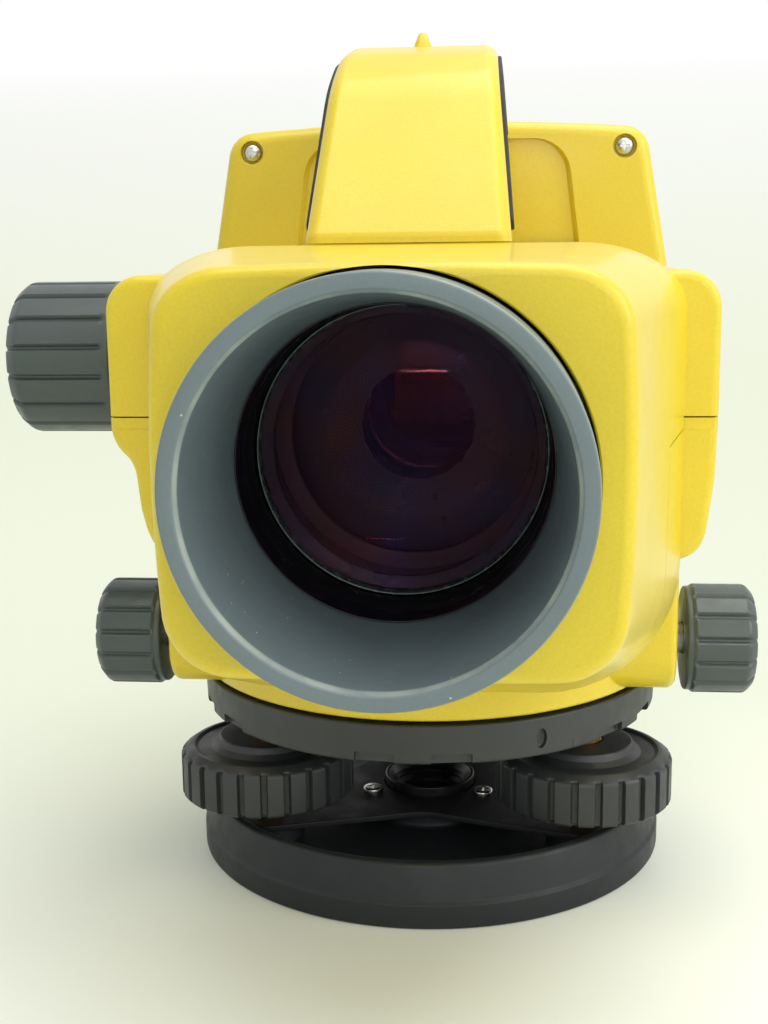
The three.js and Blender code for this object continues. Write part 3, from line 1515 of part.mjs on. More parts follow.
// Mirror leaning back over the level, so that the bubble is seen from the eyepiece end
function levelMirror() {
  const run = mirrorLength / Math.SQRT2;
  const front = vialRecessFront + fitGap;
  const top = vialRecessHigh - fitGap;
  const lift = mirrorThickness * Math.SQRT2;
  const outline = [[front, top - run], [front + run, top], [front + run - lift, top],
    [front, top - run + lift]];
  return prism("x", outline, vialSide - mirrorHalfWidth, vialSide + mirrorHalfWidth);
}

// Carry handle in side view along Y and Z, from the front foot up and back to the tail
function handleOutline() {
  const foot = deckTop + fitGap;
  const tailLow = displayTop + fitGap;
  const standing = bodyRearFront - fitGap;
  const grip = handleTop - handleGripDrop;
  return [
    [-handleFootFront, foot], [-handleFootFront, foot + handleFootRise],
    [-handleBend, handleTop - handleBendDrop], [-handleBrow, handleTop - handleBrowDrop],
    [-handleCrown, handleTop], [handleCrownRear, handleTop],
    [handleTailMid, handleTop - handleTailSlope / 2], [handleTail, tailLow + handleTailHeight],
    [handleTail, tailLow], [standing, tailLow], [standing, grip], [-handleGripFront, grip],
    [-handleThroat, grip - handleThroatDrop], [-handleFootRear, foot],
  ];
}

// The same view of the grip panel: the front arm and the bar above the finger gap
function inlayOutline(margin) {
  const foot = deckTop + fitGap;
  const grip = handleTop - handleGripDrop;
  return insetOutline([
    [-handleFootFront, foot], [-handleBend, handleTop - handleBendDrop],
    [-handleBrow, handleTop - handleBrowDrop], [-handleCrown, handleTop],
    [handleCrownRear, handleTop], [handleCrownRear, grip], [-handleGripFront, grip],
    [-handleThroat, grip - handleThroatDrop], [-handleFootRear, foot],
  ], margin);
}

// Space between the handle's tapering flanks, grown outward by an offset
function handleFlanks(offset) {
  const low = handleLowHalfWidth + offset;
  const high = handleTopHalfWidth + offset;
  const outline = [[-low, deckTop], [low, deckTop], [high, handleTop],
    [handleTopHalfWidth + offset, sightTop + overrun], [-high, sightTop + overrun],
    [-high, handleTop]];
  return prism("y", outline, -blockFront, bodyRear);
}

function carryHandle() {
  const reach = handleLowHalfWidth + overrun;
  const body = prism("x", handleOutline(), -reach, reach).intersect(handleFlanks(0));
  const recess = cut(prism("x", inlayOutline(inlayInset), -reach, reach),
    handleFlanks(-inlayRecess));
  return join(cut(body, recess), sightRib());
}

// Sighting rib on the handle's top, drawn in toward its tip
function sightRib() {
  const rib = (half, draw) => [[-half, draw - sightFront], [half, draw - sightFront],
    [half, sightBack - draw], [-half, sightBack - draw]];
  return loft("z", [
    { at: handleTop - fitGap, outline: rib(sightHalfWidth, 0) },
    { at: sightTop, outline: rib(sightTipHalfWidth, sightDraw) },
  ]);
}

// Dark grip panel let into one flank of the handle; side is -1 or 1
function handleInlay(side) {
  const reach = handleLowHalfWidth + overrun;
  const blank = prism("x", inlayOutline(inlayInset + fitGap), -reach, reach);
  const sheet = cut(blank.intersect(handleFlanks(inlayProud)),
    handleFlanks(fitGap - inlayRecess));
  const half = side < 0
    ? block(-reach, 0, -blockFront, bodyRear, deckTop - overrun, sightTop)
    : block(0, reach, -blockFront, bodyRear, deckTop - overrun, sightTop);
  return sheet.intersect(half);
}

function measureKey() {
  const face = -bodyHalfWidth - measureKeyProud;
  const inner = -bodyHalfWidth + wall + fitGap;
  const place = [measureKeyBack, focusHeight];
  return turned("x", [
    [0, face], [measureKeyRadius, face], [measureKeyRadius, inner],
    [measureKeyRadius + measureKeyFlange, inner],
    [measureKeyRadius + measureKeyFlange, inner + measureKeyFlangeThickness],
    [0, inner + measureKeyFlangeThickness],
  ], mediumSegments, place);
}

function dataSocket() {
  const outer = -bodyHalfWidth * leftFlankShares[4][0] - wall / 2 - socketProud;
  const place = [socketBack, socketHeight];
  const floor = outer + socketDepth;
  return turned("x", [
    [socketBore, outer], [socketRadius, outer], [socketRadius, floor + wall / 2],
    [0, floor + wall / 2], [0, floor], [socketBore, floor],
  ], mediumSegments, place);
}

function piece(name, solid, finish) {
  const found = solid.getMesh();
  const geometry = new THREE.BufferGeometry();
  geometry.setAttribute("position", new THREE.BufferAttribute(found.vertProperties, 3));
  geometry.setIndex(new THREE.BufferAttribute(found.triVerts, 1));
  const mesh = new THREE.Mesh(geometry, new THREE.MeshStandardMaterial(finish));
  mesh.name = name;
  return mesh;
}

const level = new THREE.Group();
level.name = "digital_level";

level.add(
  piece("base_plate", basePlate(), basePaint),
  piece("tripod_bush", tripodBush(), brass),
  piece("spring_plate", springPlate(), blackAnodised),
);
for (const [side, place] of Object.entries(feet)) {
  level.add(piece(`foot_stud_${side}`, footStud(place), brass));
  level.add(piece(`foot_knob_${side}`, footKnob(place), charcoalPlastic));
}
level.add(
  piece("levelling_head", levellingHead(), blackAnodised),
  piece("spindle", spindle(), bareSteel),
  piece("spindle_nut", spindleNut(), bareSteel),
  piece("circle_ring", circleRing(), charcoalPlastic),
  piece("worm_wheel", wormWheel(), brass),
  piece("worm_shaft", wormShaft(), bareSteel),
  piece("fine_knob_left", fineKnob(-1), knobRubber),
  piece("fine_knob_right", fineKnob(1), knobRubber),
  piece("lower_housing", lowerHousing(), yellowPaint),
  piece("upper_housing", upperHousing(), yellowPaint),
  piece("bearing_sleeve", bearingSleeve(), brass),
  piece("carry_handle", carryHandle(), yellowPaint),
  piece("handle_inlay_left", handleInlay(-1), softBlack),
  piece("handle_inlay_right", handleInlay(1), softBlack),
  piece("hood", hood(), slateGrey),
  piece("objective_cell", objectiveCell(), blackAnodised),
  piece("retaining_ring", retainingRing(), blackAnodised),
  piece("objective_lens", objectiveLens(), coatedGlass),
  piece("telescope_tube", telescopeTube(), blackAnodised),
  piece("focus_knob", focusKnob(), knobRubber),
  piece("focus_shaft", focusShaft(), bareSteel),
  piece("focus_bush", focusBush(), brass),
  piece("focus_carriage", focusCarriage(), blackAnodised),
  piece("focusing_lens", focusingLens(), clearGlass),
  piece("compensator_frame", compensatorFrame(), blackAnodised),
  piece("pendulum", pendulum(), brass),
  piece("beam_splitter", beamSplitter(), clearGlass),
  piece("sensor_board", sensorBoard(), circuitBoard),
  piece("main_board", mainBoard(), circuitBoard),
  piece("battery", battery(), softBlack),
  piece("battery_door", batteryDoor(), yellowPaint),
  piece("data_socket", dataSocket(), blackAnodised),
  piece("measure_key", measureKey(), keyGrey),
  piece("display_housing", displayHousing(), yellowPaint),
  piece("display_screw_left", displayScrew(-1), bareSteel),
  piece("display_screw_right", displayScrew(1), bareSteel),
  piece("rear_panel", rearPanel(), charcoalPlastic),
  piece("display_window", displayWindow(), clearGlass),
  piece("display_module", displayModule(), circuitBoard),
  piece("level_vial", levelVial(), clearGlass),
  piece("level_mirror", levelMirror(), mirrorSilver),
  piece("eyepiece_tube", eyepieceTube(), blackAnodised),
  piece("eyepiece_ring", eyepieceRing(), charcoalPlastic),
  piece("eye_cup", eyeCup(), softBlack),
  piece("eyepiece_cell", eyepieceCell(), blackAnodised),
);
for (const place of keyPlaces()) {
  level.add(piece(place.name, key(place), keyGrey));
}

level.position.set((focusKnobReach - fineKnobReach) / 2, (hoodReach - eyepieceReach) / 2, 0);

export default level;
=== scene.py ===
"""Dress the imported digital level: fine meshes, finishes, studio light and the camera.

Sizes are millimetres about the level's turning axis, with +Z up and the objective towards
-Y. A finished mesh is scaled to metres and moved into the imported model's frame.
"""
from __future__ import annotations

import logging
import math
from dataclasses import dataclass, replace
from enum import Enum
from typing import Sequence

import bmesh
import bpy
from bmesh.types import BMEdge, BMesh, BMVert
from mathutils import Matrix, Vector


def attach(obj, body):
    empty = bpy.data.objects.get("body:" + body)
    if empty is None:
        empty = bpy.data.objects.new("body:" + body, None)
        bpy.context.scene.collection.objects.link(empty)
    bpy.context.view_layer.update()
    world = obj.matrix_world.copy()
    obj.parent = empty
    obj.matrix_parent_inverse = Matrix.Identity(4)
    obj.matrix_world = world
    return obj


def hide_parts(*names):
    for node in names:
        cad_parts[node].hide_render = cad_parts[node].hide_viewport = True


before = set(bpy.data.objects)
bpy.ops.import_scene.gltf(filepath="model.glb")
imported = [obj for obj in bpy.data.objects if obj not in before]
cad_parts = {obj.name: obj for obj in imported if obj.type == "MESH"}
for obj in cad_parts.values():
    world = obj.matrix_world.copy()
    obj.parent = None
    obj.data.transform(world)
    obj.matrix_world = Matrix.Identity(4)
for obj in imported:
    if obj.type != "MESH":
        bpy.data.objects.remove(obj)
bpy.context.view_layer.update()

Point = tuple[float, float]
Corner = tuple[float, float, float]
Place = tuple[float, float, float]
Outline = list[Point]
Colour = tuple[float, float, float]
Socket = bpy.types.NodeSocket

LOG = logging.getLogger("level")
MM = 0.001
TURNING_AXIS = Vector((8.0, -10.6, 0.0))
FILLET_STEPS = 4
SPIN_STEPS = 96
SMALL_SPIN_STEPS = 40
SHARP_ANGLE = math.radians(34)
SOFT_EDGE_ANGLE = math.radians(28)
WELD = 0.0005
OVERRUN = 2.0
FIT_GAP = 0.3
FULL_TURN = 2 * math.pi
QUARTER_TURN = math.pi / 2
FOOT_CIRCLE = 41.0
BALL_HEIGHT = 8.0
SIGHT_HEIGHT = 101.4
ON_SIGHT: Point = (0.0, SIGHT_HEIGHT)
FOCUS_PLACE: Point = (-19.1, 114.9)
WORM_PLACE: Point = (-21.9, 54.0)
WHITE = (1.0, 1.0, 1.0, 1.0)


class Axis(Enum):
    """Direction of a piece's own height, as the rows of the turn from (u, v, height)."""

    X = ((0, 0, 1), (1, 0, 0), (0, 1, 0))
    Y = ((1, 0, 0), (0, 0, 1), (0, 1, 0))
    Z = ((1, 0, 0), (0, 1, 0), (0, 0, 1))

    def matrix(self, place: Point = (0.0, 0.0)) -> Matrix:
        """Turn that stands a piece's height along this axis through a place."""
        return Matrix(self.value).to_4x4() @ Matrix.Translation((*place, 0.0))


class Join(Enum):
    """What a boolean does with its second solid."""

    FUSE = "UNION"
    CARVE = "DIFFERENCE"
    KEEP = "INTERSECT"


class Grain(Enum):
    """Small-scale surface of a finish."""

    SMOOTH = "smooth"
    SPRAYED = "sprayed paint"
    MOULDED = "moulded plastic"
    RUBBER = "rubber"
    TURNED = "turned on a lathe"
    BRUSHED = "brushed"


# Outlines


def filleted(corners: Sequence[Corner], closed: bool = True, steps: int = FILLET_STEPS) -> Outline:
    """Round the corners of an outline.

    Args:
        corners: Each corner's u, v and radius.
        closed: Whether the outline returns to its start.
        steps: Straight steps in each rounded corner.

    Returns:
        The outline with an arc in place of each corner that has a radius.
    """
    outline: Outline = []
    count = len(corners)
    for i, (u, v, radius) in enumerate(corners):
        if radius <= 0 or (not closed and i in (0, count - 1)):
            outline.append((u, v))
            continue
        here = Vector((u, v))
        before = Vector(corners[i - 1][:2]) - here
        after = Vector(corners[(i + 1) % count][:2]) - here
        half = before.angle(after) / 2
        turn = math.pi - 2 * half
        if turn < SHARP_ANGLE / 20:
            outline.append((u, v))
            continue
        reach = min(radius / math.tan(half), before.length / 2, after.length / 2)
        centre = here + (before.normalized() + after.normalized()).normalized() * (
            reach / math.cos(half))
        first = here + before.normalized() * reach - centre
        last = here + after.normalized() * reach - centre
        for k in range(steps + 1):
            share = k / steps
            spoke = (first * math.sin((1 - share) * turn) + last * math.sin(share * turn)
                     ) / math.sin(turn)
            outline.append(tuple(centre + spoke))
    return outline


def rounded_box(half: float, low: float, high: float, upper: Point, lower: float,
                steps: int = 10, sides: int = 6, swell: tuple = (0, 0, 0, 0)) -> Outline:
    """Box outline with quarter ellipses above and quarter circles below.

    Args:
        half: Half of the width.
        low: Bottom edge.
        high: Top edge.
        upper: Width and height of the two upper corners.
        lower: Radius of the two lower corners.
        steps: Steps in each corner.
        sides: Points between the corners on each side.
        swell: How far the top, left, bottom and right sides bulge.

    Returns:
        Points anticlockwise from the right end of the upper right corner.
    """
    wide, tall = upper
    places = [(half - wide, high - tall, wide, tall), (wide - half, high - tall, wide, tall),
              (lower - half, low + lower, lower, lower), (half - lower, low + lower, lower, lower)]
    outward = [(0, 1), (-1, 0), (0, -1), (1, 0)]
    arcs = []
    for i, (u, v, a, b) in enumerate(places):
        angles = [(i + k / steps) * QUARTER_TURN for k in range(steps + 1)]
        arcs.append([(u + a * math.cos(t), v + b * math.sin(t)) for t in angles])
    outline: Outline = []
    for i, arc in enumerate(arcs):
        outline.extend(arc)
        start, end = arc[-1], arcs[(i + 1) % len(arcs)][0]
        for k in range(1, sides + 1):
            t = k / (sides + 1)
            rise = swell[i] * 4 * t * (1 - t)
            outline.append((start[0] + (end[0] - start[0]) * t + outward[i][0] * rise,
                            start[1] + (end[1] - start[1]) * t + outward[i][1] * rise))
    return outline


def shifted(outline: Outline, du: float, dv: float) -> Outline:
    """Outline moved by du, dv."""
    return [(u + du, v + dv) for u, v in outline]


def drawn_in(corners: Sequence[Corner], margin: float) -> list[Corner]:
    """Clockwise corners moved inward, every edge parallel to where it was.

    Args:
        corners: Each corner's u, v and radius.
        margin: How far.

    Returns:
        The moved corners.
    """
    moved = []
    for i, (u, v, radius) in enumerate(corners):
        before = Vector((u - corners[i - 1][0], v - corners[i - 1][1])).normalized()
        ahead = corners[(i + 1) % len(corners)]
        after = Vector((ahead[0] - u, ahead[1] - v)).normalized()
        share = margin / (1 + before.dot(after))
        moved.append((u + (before.y + after.y) * share, v - (before.x + after.x) * share, radius))
    return moved


def blended(first: Outline, second: Outline, share: float) -> Outline:
    """Outline part of the way from a first to a second one of as many points."""
    return [(a + (c - a) * share, b + (d - b) * share) for (a, b), (c, d) in zip(first, second)]


def span(middle: float, half: float) -> Point:
    """Two places as far below and above a middle one."""
    return middle - half, middle + half


def polar(radius: float, angle: float) -> Point:
    """Place at a radius and an angle."""
    return radius * math.cos(angle), radius * math.sin(angle)


def eased(share: float) -> float:
    """Share from 0 to 1 with a soft start and end."""
    share = min(1.0, max(0.0, share))
    return share * share * (3 - 2 * share)


def rounding(radius: float, steps: int = FILLET_STEPS) -> list[Point]:
    """Steps of a quarter-round edge, as (distance from the end, inset), end face first."""
    angles = [k / steps * QUARTER_TURN for k in range(steps + 1)]
    return [(radius * (1 - math.cos(t)), radius * (1 - math.sin(t))) for t in angles]


# Meshes, in millimetres


def outward(mesh: BMesh) -> BMesh:
    """Turn a mesh's faces outward."""
    bmesh.ops.recalc_face_normals(mesh, faces=mesh.faces)
    return mesh


def stood(mesh: BMesh, axis: Axis, place: Point = (0.0, 0.0)) -> BMesh:
    """Stand a mesh along an axis through a place, with its faces outward."""
    bmesh.ops.transform(mesh, matrix=axis.matrix(place), verts=mesh.verts)
    return outward(mesh)


def loft(axis: Axis, sections: Sequence[tuple[float, Outline]], place: Point = (0.0, 0.0)
         ) -> BMesh:
    """Closed skin through outlines with equal numbers of points.

    Args:
        axis: Direction in which the outlines follow each other.
        sections: Each outline's distance along the axis, and its points.
        place: Where the axis passes.

    Returns:
        The closed mesh.
    """
    mesh = bmesh.new()
    at, outline = sections[0]
    ring = [mesh.verts.new((u, v, at)) for u, v in outline]
    edges = [mesh.edges.new((a, b)) for a, b in zip(ring, ring[1:] + ring[:1])]
    bmesh.ops.contextual_create(mesh, geom=edges)
    for at, outline in sections[1:]:
        grown = bmesh.ops.extrude_edge_only(mesh, edges=edges)["geom"]
        fresh = {item for item in grown if isinstance(item, BMVert)}
        ring = [next(edge.other_vert(old) for edge in old.link_edges
                     if edge.other_vert(old) in fresh) for old in ring]
        for vert, (u, v) in zip(ring, outline):
            vert.co = (u, v, at)
        edges = [item for item in grown if isinstance(item, BMEdge)
                 and all(vert in fresh for vert in item.verts)]
    bmesh.ops.contextual_create(mesh, geom=edges)
    bmesh.ops.remove_doubles(mesh, verts=mesh.verts, dist=WELD)
    return stood(mesh, axis, place)


def spun(axis: Axis, corners: Sequence[Corner], place: Point = (0.0, 0.0),
         steps: int = SPIN_STEPS) -> BMesh:
    """Solid of revolution from a profile with rounded corners.

    Args:
        axis: Direction of the axis of revolution.
        corners: The profile's radius, height and corner radius, in order.
        place: Where the axis passes.
        steps: Steps in a full turn.

    Returns:
        The closed mesh.
    """
    closed = corners[0][0] > 0 or corners[-1][0] > 0
    mesh = bmesh.new()
    verts = [mesh.verts.new((radius, 0, at)) for radius, at in filleted(corners, closed)]
    pairs = list(zip(verts, verts[1:])) + ([(verts[-1], verts[0])] if closed else [])
    edges = [mesh.edges.new(pair) for pair in pairs]
    bmesh.ops.spin(mesh, geom=verts + edges, cent=(0, 0, 0), axis=(0, 0, 1), angle=FULL_TURN,
                   steps=steps, use_merge=True)
    bmesh.ops.remove_doubles(mesh, verts=mesh.verts, dist=WELD)
    return stood(mesh, axis, place)


def rod(axis: Axis, radius: float, start: float, end: float, place: Point = (0.0, 0.0),
        edge: float = 0.0, steps: int = SMALL_SPIN_STEPS) -> BMesh:
    """Round bar from start to end along an axis, with rounded ends."""
    return spun(axis, [(0, start, 0), (radius, start, edge), (radius, end, edge), (0, end, 0)],
                place, steps)


def prism(axis: Axis, outline: Outline, start: float, end: float, edge: float = 0.0) -> BMesh:
    """Outline drawn out along an axis, with its end edges rounded.

    Args:
        axis: Direction.
        outline: Its points.
        start: Where it starts.
        end: Where it ends.
        edge: Radius of the end edges.

    Returns:
        The closed mesh.
    """
    mesh = loft(axis, [(start, outline), (end, outline)])
    if edge > 0:
        ends = [e for e in mesh.edges if any(len(f.verts) == len(outline) for f in e.link_faces)]
        round_edges(mesh, ends, edge)
    return mesh


def block(x: Point, y: Point, z: Point, edge: float = 0.0) -> BMesh:
    """Box between two places along each axis, with its edges rounded.

    Args:
        x: Two places along X.
        y: Two places along Y.
        z: Two places along Z.
        edge: Radius of all edges.

    Returns:
        The closed mesh.
    """
    mesh = bmesh.new()
    bmesh.ops.create_cube(mesh, size=1)
    bmesh.ops.scale(mesh, vec=(x[1] - x[0], y[1] - y[0], z[1] - z[0]), verts=mesh.verts)
    centre = (sum(x) / 2, sum(y) / 2, sum(z) / 2)
    bmesh.ops.translate(mesh, vec=centre, verts=mesh.verts)
    if edge > 0:
        round_edges(mesh, list(mesh.edges), edge)
    return mesh


def round_edges(mesh: BMesh, edges: Sequence[BMEdge], radius: float, segments: int = 3) -> BMesh:
    """Round some of a mesh's edges.

    Args:
        mesh: The mesh.
        edges: Which of its edges.
        radius: Their radius.
        segments: Faces across each rounding.

    Returns:
        The same mesh.
    """
    bmesh.ops.bevel(
        mesh, geom=list(edges), offset=radius, offset_type="OFFSET", segments=segments,
        profile=0.5, affect="EDGES", clamp_overlap=True, material=-1)
    return mesh


def soften(mesh: BMesh, radius: float, segments: int = 3, angle: float = SOFT_EDGE_ANGLE
           ) -> BMesh:
    """Round every edge whose faces meet at more than an angle."""
    edges = [e for e in mesh.edges if len(e.link_faces) == 2 and e.calc_face_angle(0) > angle]
    return round_edges(mesh, edges, radius, segments)


def mirrored(mesh: BMesh) -> BMesh:
    """The same mesh on the other side of the line of sight."""
    bmesh.ops.scale(mesh, vec=(-1, 1, 1), verts=mesh.verts)
    return outward(mesh)


def ball(radius: float, centre: Place, around: int) -> BMesh:
    """Sphere with as many faces around as given, and half as many from pole to pole.

    Args:
        radius: Radius.
        centre: Centre.
        around: Faces around.

    Returns:
        The mesh.
    """
    mesh = bmesh.new()
    bmesh.ops.create_uvsphere(mesh, u_segments=around, v_segments=around // 2, radius=radius)
    bmesh.ops.translate(mesh, vec=centre, verts=mesh.verts)
    return mesh


def gathered(*meshes: BMesh) -> BMesh:
    """One mesh of several that don't touch.

    Args:
        meshes: The meshes; all but the first are used up.

    Returns:
        The first mesh.
    """
    whole, rest = meshes[0], meshes[1:]
    for other in rest:
        data = bpy.data.meshes.new("gathered")
        other.to_mesh(data)
        other.free()
        whole.from_mesh(data)
        bpy.data.meshes.remove(data)
    return whole


def placed(name: str, mesh: BMesh) -> bpy.types.Object:
    """Object in the scene that takes over a mesh.

    Args:
        name: The object's name.
        mesh: Its mesh; it is used up.

    Returns:
        The object.
    """
    data = bpy.data.meshes.new(name)
    mesh.to_mesh(data)
    mesh.free()
    obj = bpy.data.objects.new(name, data)
    bpy.context.collection.objects.link(obj)
    return obj


def carved(mesh: BMesh, *tools: BMesh) -> BMesh:
    """Cut tools out of a solid."""
    return joined(Join.CARVE, mesh, *tools)


def fused(mesh: BMesh, *others: BMesh) -> BMesh:
    """Fuse solids into one."""
    return joined(Join.FUSE, mesh, *others)


def joined(join: Join, mesh: BMesh, *others: BMesh) -> BMesh:
    """Fuse, carve or keep a solid by others, one after another.

    Args:
        join: What each of the others does.
        mesh: The solid that it is done to; it is used up.
        others: The other solids; they are used up.

    Returns:
        The result as a new mesh.
    """
    for other in others:
        objects = []
        for part in (mesh, other):
            bmesh.ops.triangulate(part, faces=[f for f in part.faces if len(f.verts) > 4])
            objects.append(placed("operand", part))
        boolean = objects[0].modifiers.new("boolean", "BOOLEAN")
        boolean.operation = join.value
        boolean.solver = "EXACT"
        boolean.object = objects[1]
        graph = bpy.context.evaluated_depsgraph_get()
        result = bpy.data.meshes.new_from_object(objects[0].evaluated_get(graph))
        mesh = bmesh.new()
        mesh.from_mesh(result)
        bpy.data.meshes.remove(result)
        for obj in objects:
            data = obj.data
            bpy.data.objects.remove(obj)
            bpy.data.meshes.remove(data)
    bmesh.ops.remove_doubles(mesh, verts=mesh.verts, dist=WELD)
    return mesh


# Finishes


class Shader:
    """Node tree of one material, built by short calls."""

    def __init__(self, name: str) -> None:
        """Start a material with a Principled shader.

        Args:
            name: The material's name.
        """
        self.material = bpy.data.materials.new(name)
        self.material.use_nodes = True
        self.nodes = self.material.node_tree.nodes
        self.surface = self.nodes["Principled BSDF"]
        self.place = self.node("ShaderNodeTexCoord").outputs["Object"]

    def node(self, kind: str, inputs: dict | None = None, **settings: object) -> bpy.types.Node:
        """Add a node, with settings and with inputs that are values or other outputs.

        Args:
            kind: Blender's name for the node.
            inputs: Values or outputs by input.
            settings: Values of its properties.

        Returns:
            The node.
        """
        node = self.nodes.new(kind)
        for name, value in settings.items():
            setattr(node, name, value)
        self.feed(node, inputs or {})
        return node

    def feed(self, node: bpy.types.Node, inputs: dict) -> None:
        """Set or link the inputs of a node.

        Args:
            node: The node.
            inputs: Values or outputs by input.
        """
        for name, value in inputs.items():
            if isinstance(value, Socket):
                self.material.node_tree.links.new(value, node.inputs[name])
            else:
                node.inputs[name].default_value = value

    def noise(self, size: float, detail: float = 2.0, stretch: Vector | None = None
              ) -> Socket:
        """Noise with features of a size in millimetres, stretched along the axes if asked.

        Args:
            size: Size of the features.
            detail: Octaves.
            stretch: Scale along each axis.

        Returns:
            Noise from 0 to 1.
        """
        vector = self.place
        if stretch is not None:
            vector = self.node("ShaderNodeMapping", {"Vector": self.place, "Scale": stretch}
                               ).outputs["Vector"]
        return self.node("ShaderNodeTexNoise", {"Vector": vector, "Scale": 1 / (size * MM),
                                                "Detail": detail}).outputs["Fac"]

    def spread(self, value: Socket, low: float, high: float,
               start: float = 0.0, end: float = 1.0) -> Socket:
        """Map a value from a range onto another, clamped.

        Args:
            value: What is mapped.
            low: Result at the start.
            high: Result at the end.
            start: Start of the range.
            end: End of the range.

        Returns:
            The mapped value.
        """
        return self.node("ShaderNodeMapRange", {"Value": value, "From Min": start,
                                                "From Max": end, "To Min": low, "To Max": high}
                         ).outputs["Result"]

    def mix(self, share: object, first: object, second: object) -> Socket:
        """Mix two colours by a share.

        Args:
            share: Share of the second.
            first: First colour.
            second: Second colour.

        Returns:
            The mixed colour.
        """
        node = self.node("ShaderNodeMix", data_type="RGBA")
        self.feed(node, {"Factor": share})
        for socket, value in ((node.inputs[6], first), (node.inputs[7], second)):
            if isinstance(value, Socket):
                self.material.node_tree.links.new(value, socket)
            else:
                socket.default_value = value
        return node.outputs[2]

    def math(self, operation: str, first: object, second: object) -> Socket:
        """Combine two values."""
        return self.node("ShaderNodeMath", {0: first, 1: second}, operation=operation
                         ).outputs["Value"]

    def times(self, colour: object, share: Socket) -> Socket:
        """Colour multiplied by a share."""
        return self.node("ShaderNodeVectorMath", {0: colour, 1: share}, operation="MULTIPLY"
                         ).outputs["Vector"]

    def bump(self, height: Socket, depth: float) -> Socket:
        """Bump of a depth in millimetres."""
        return self.node("ShaderNodeBump", {"Height": height, "Distance": depth * MM}
                         ).outputs["Normal"]


def linear(colour: Colour) -> tuple[float, float, float, float]:
    """Linear RGBA of a colour given in screen values from 0 to 255."""
    shares = [c / 255 for c in colour]
    return (*[c / 12.92 if c <= 0.04045 else ((c + 0.055) / 1.055) ** 2.4 for c in shares], 1.0)


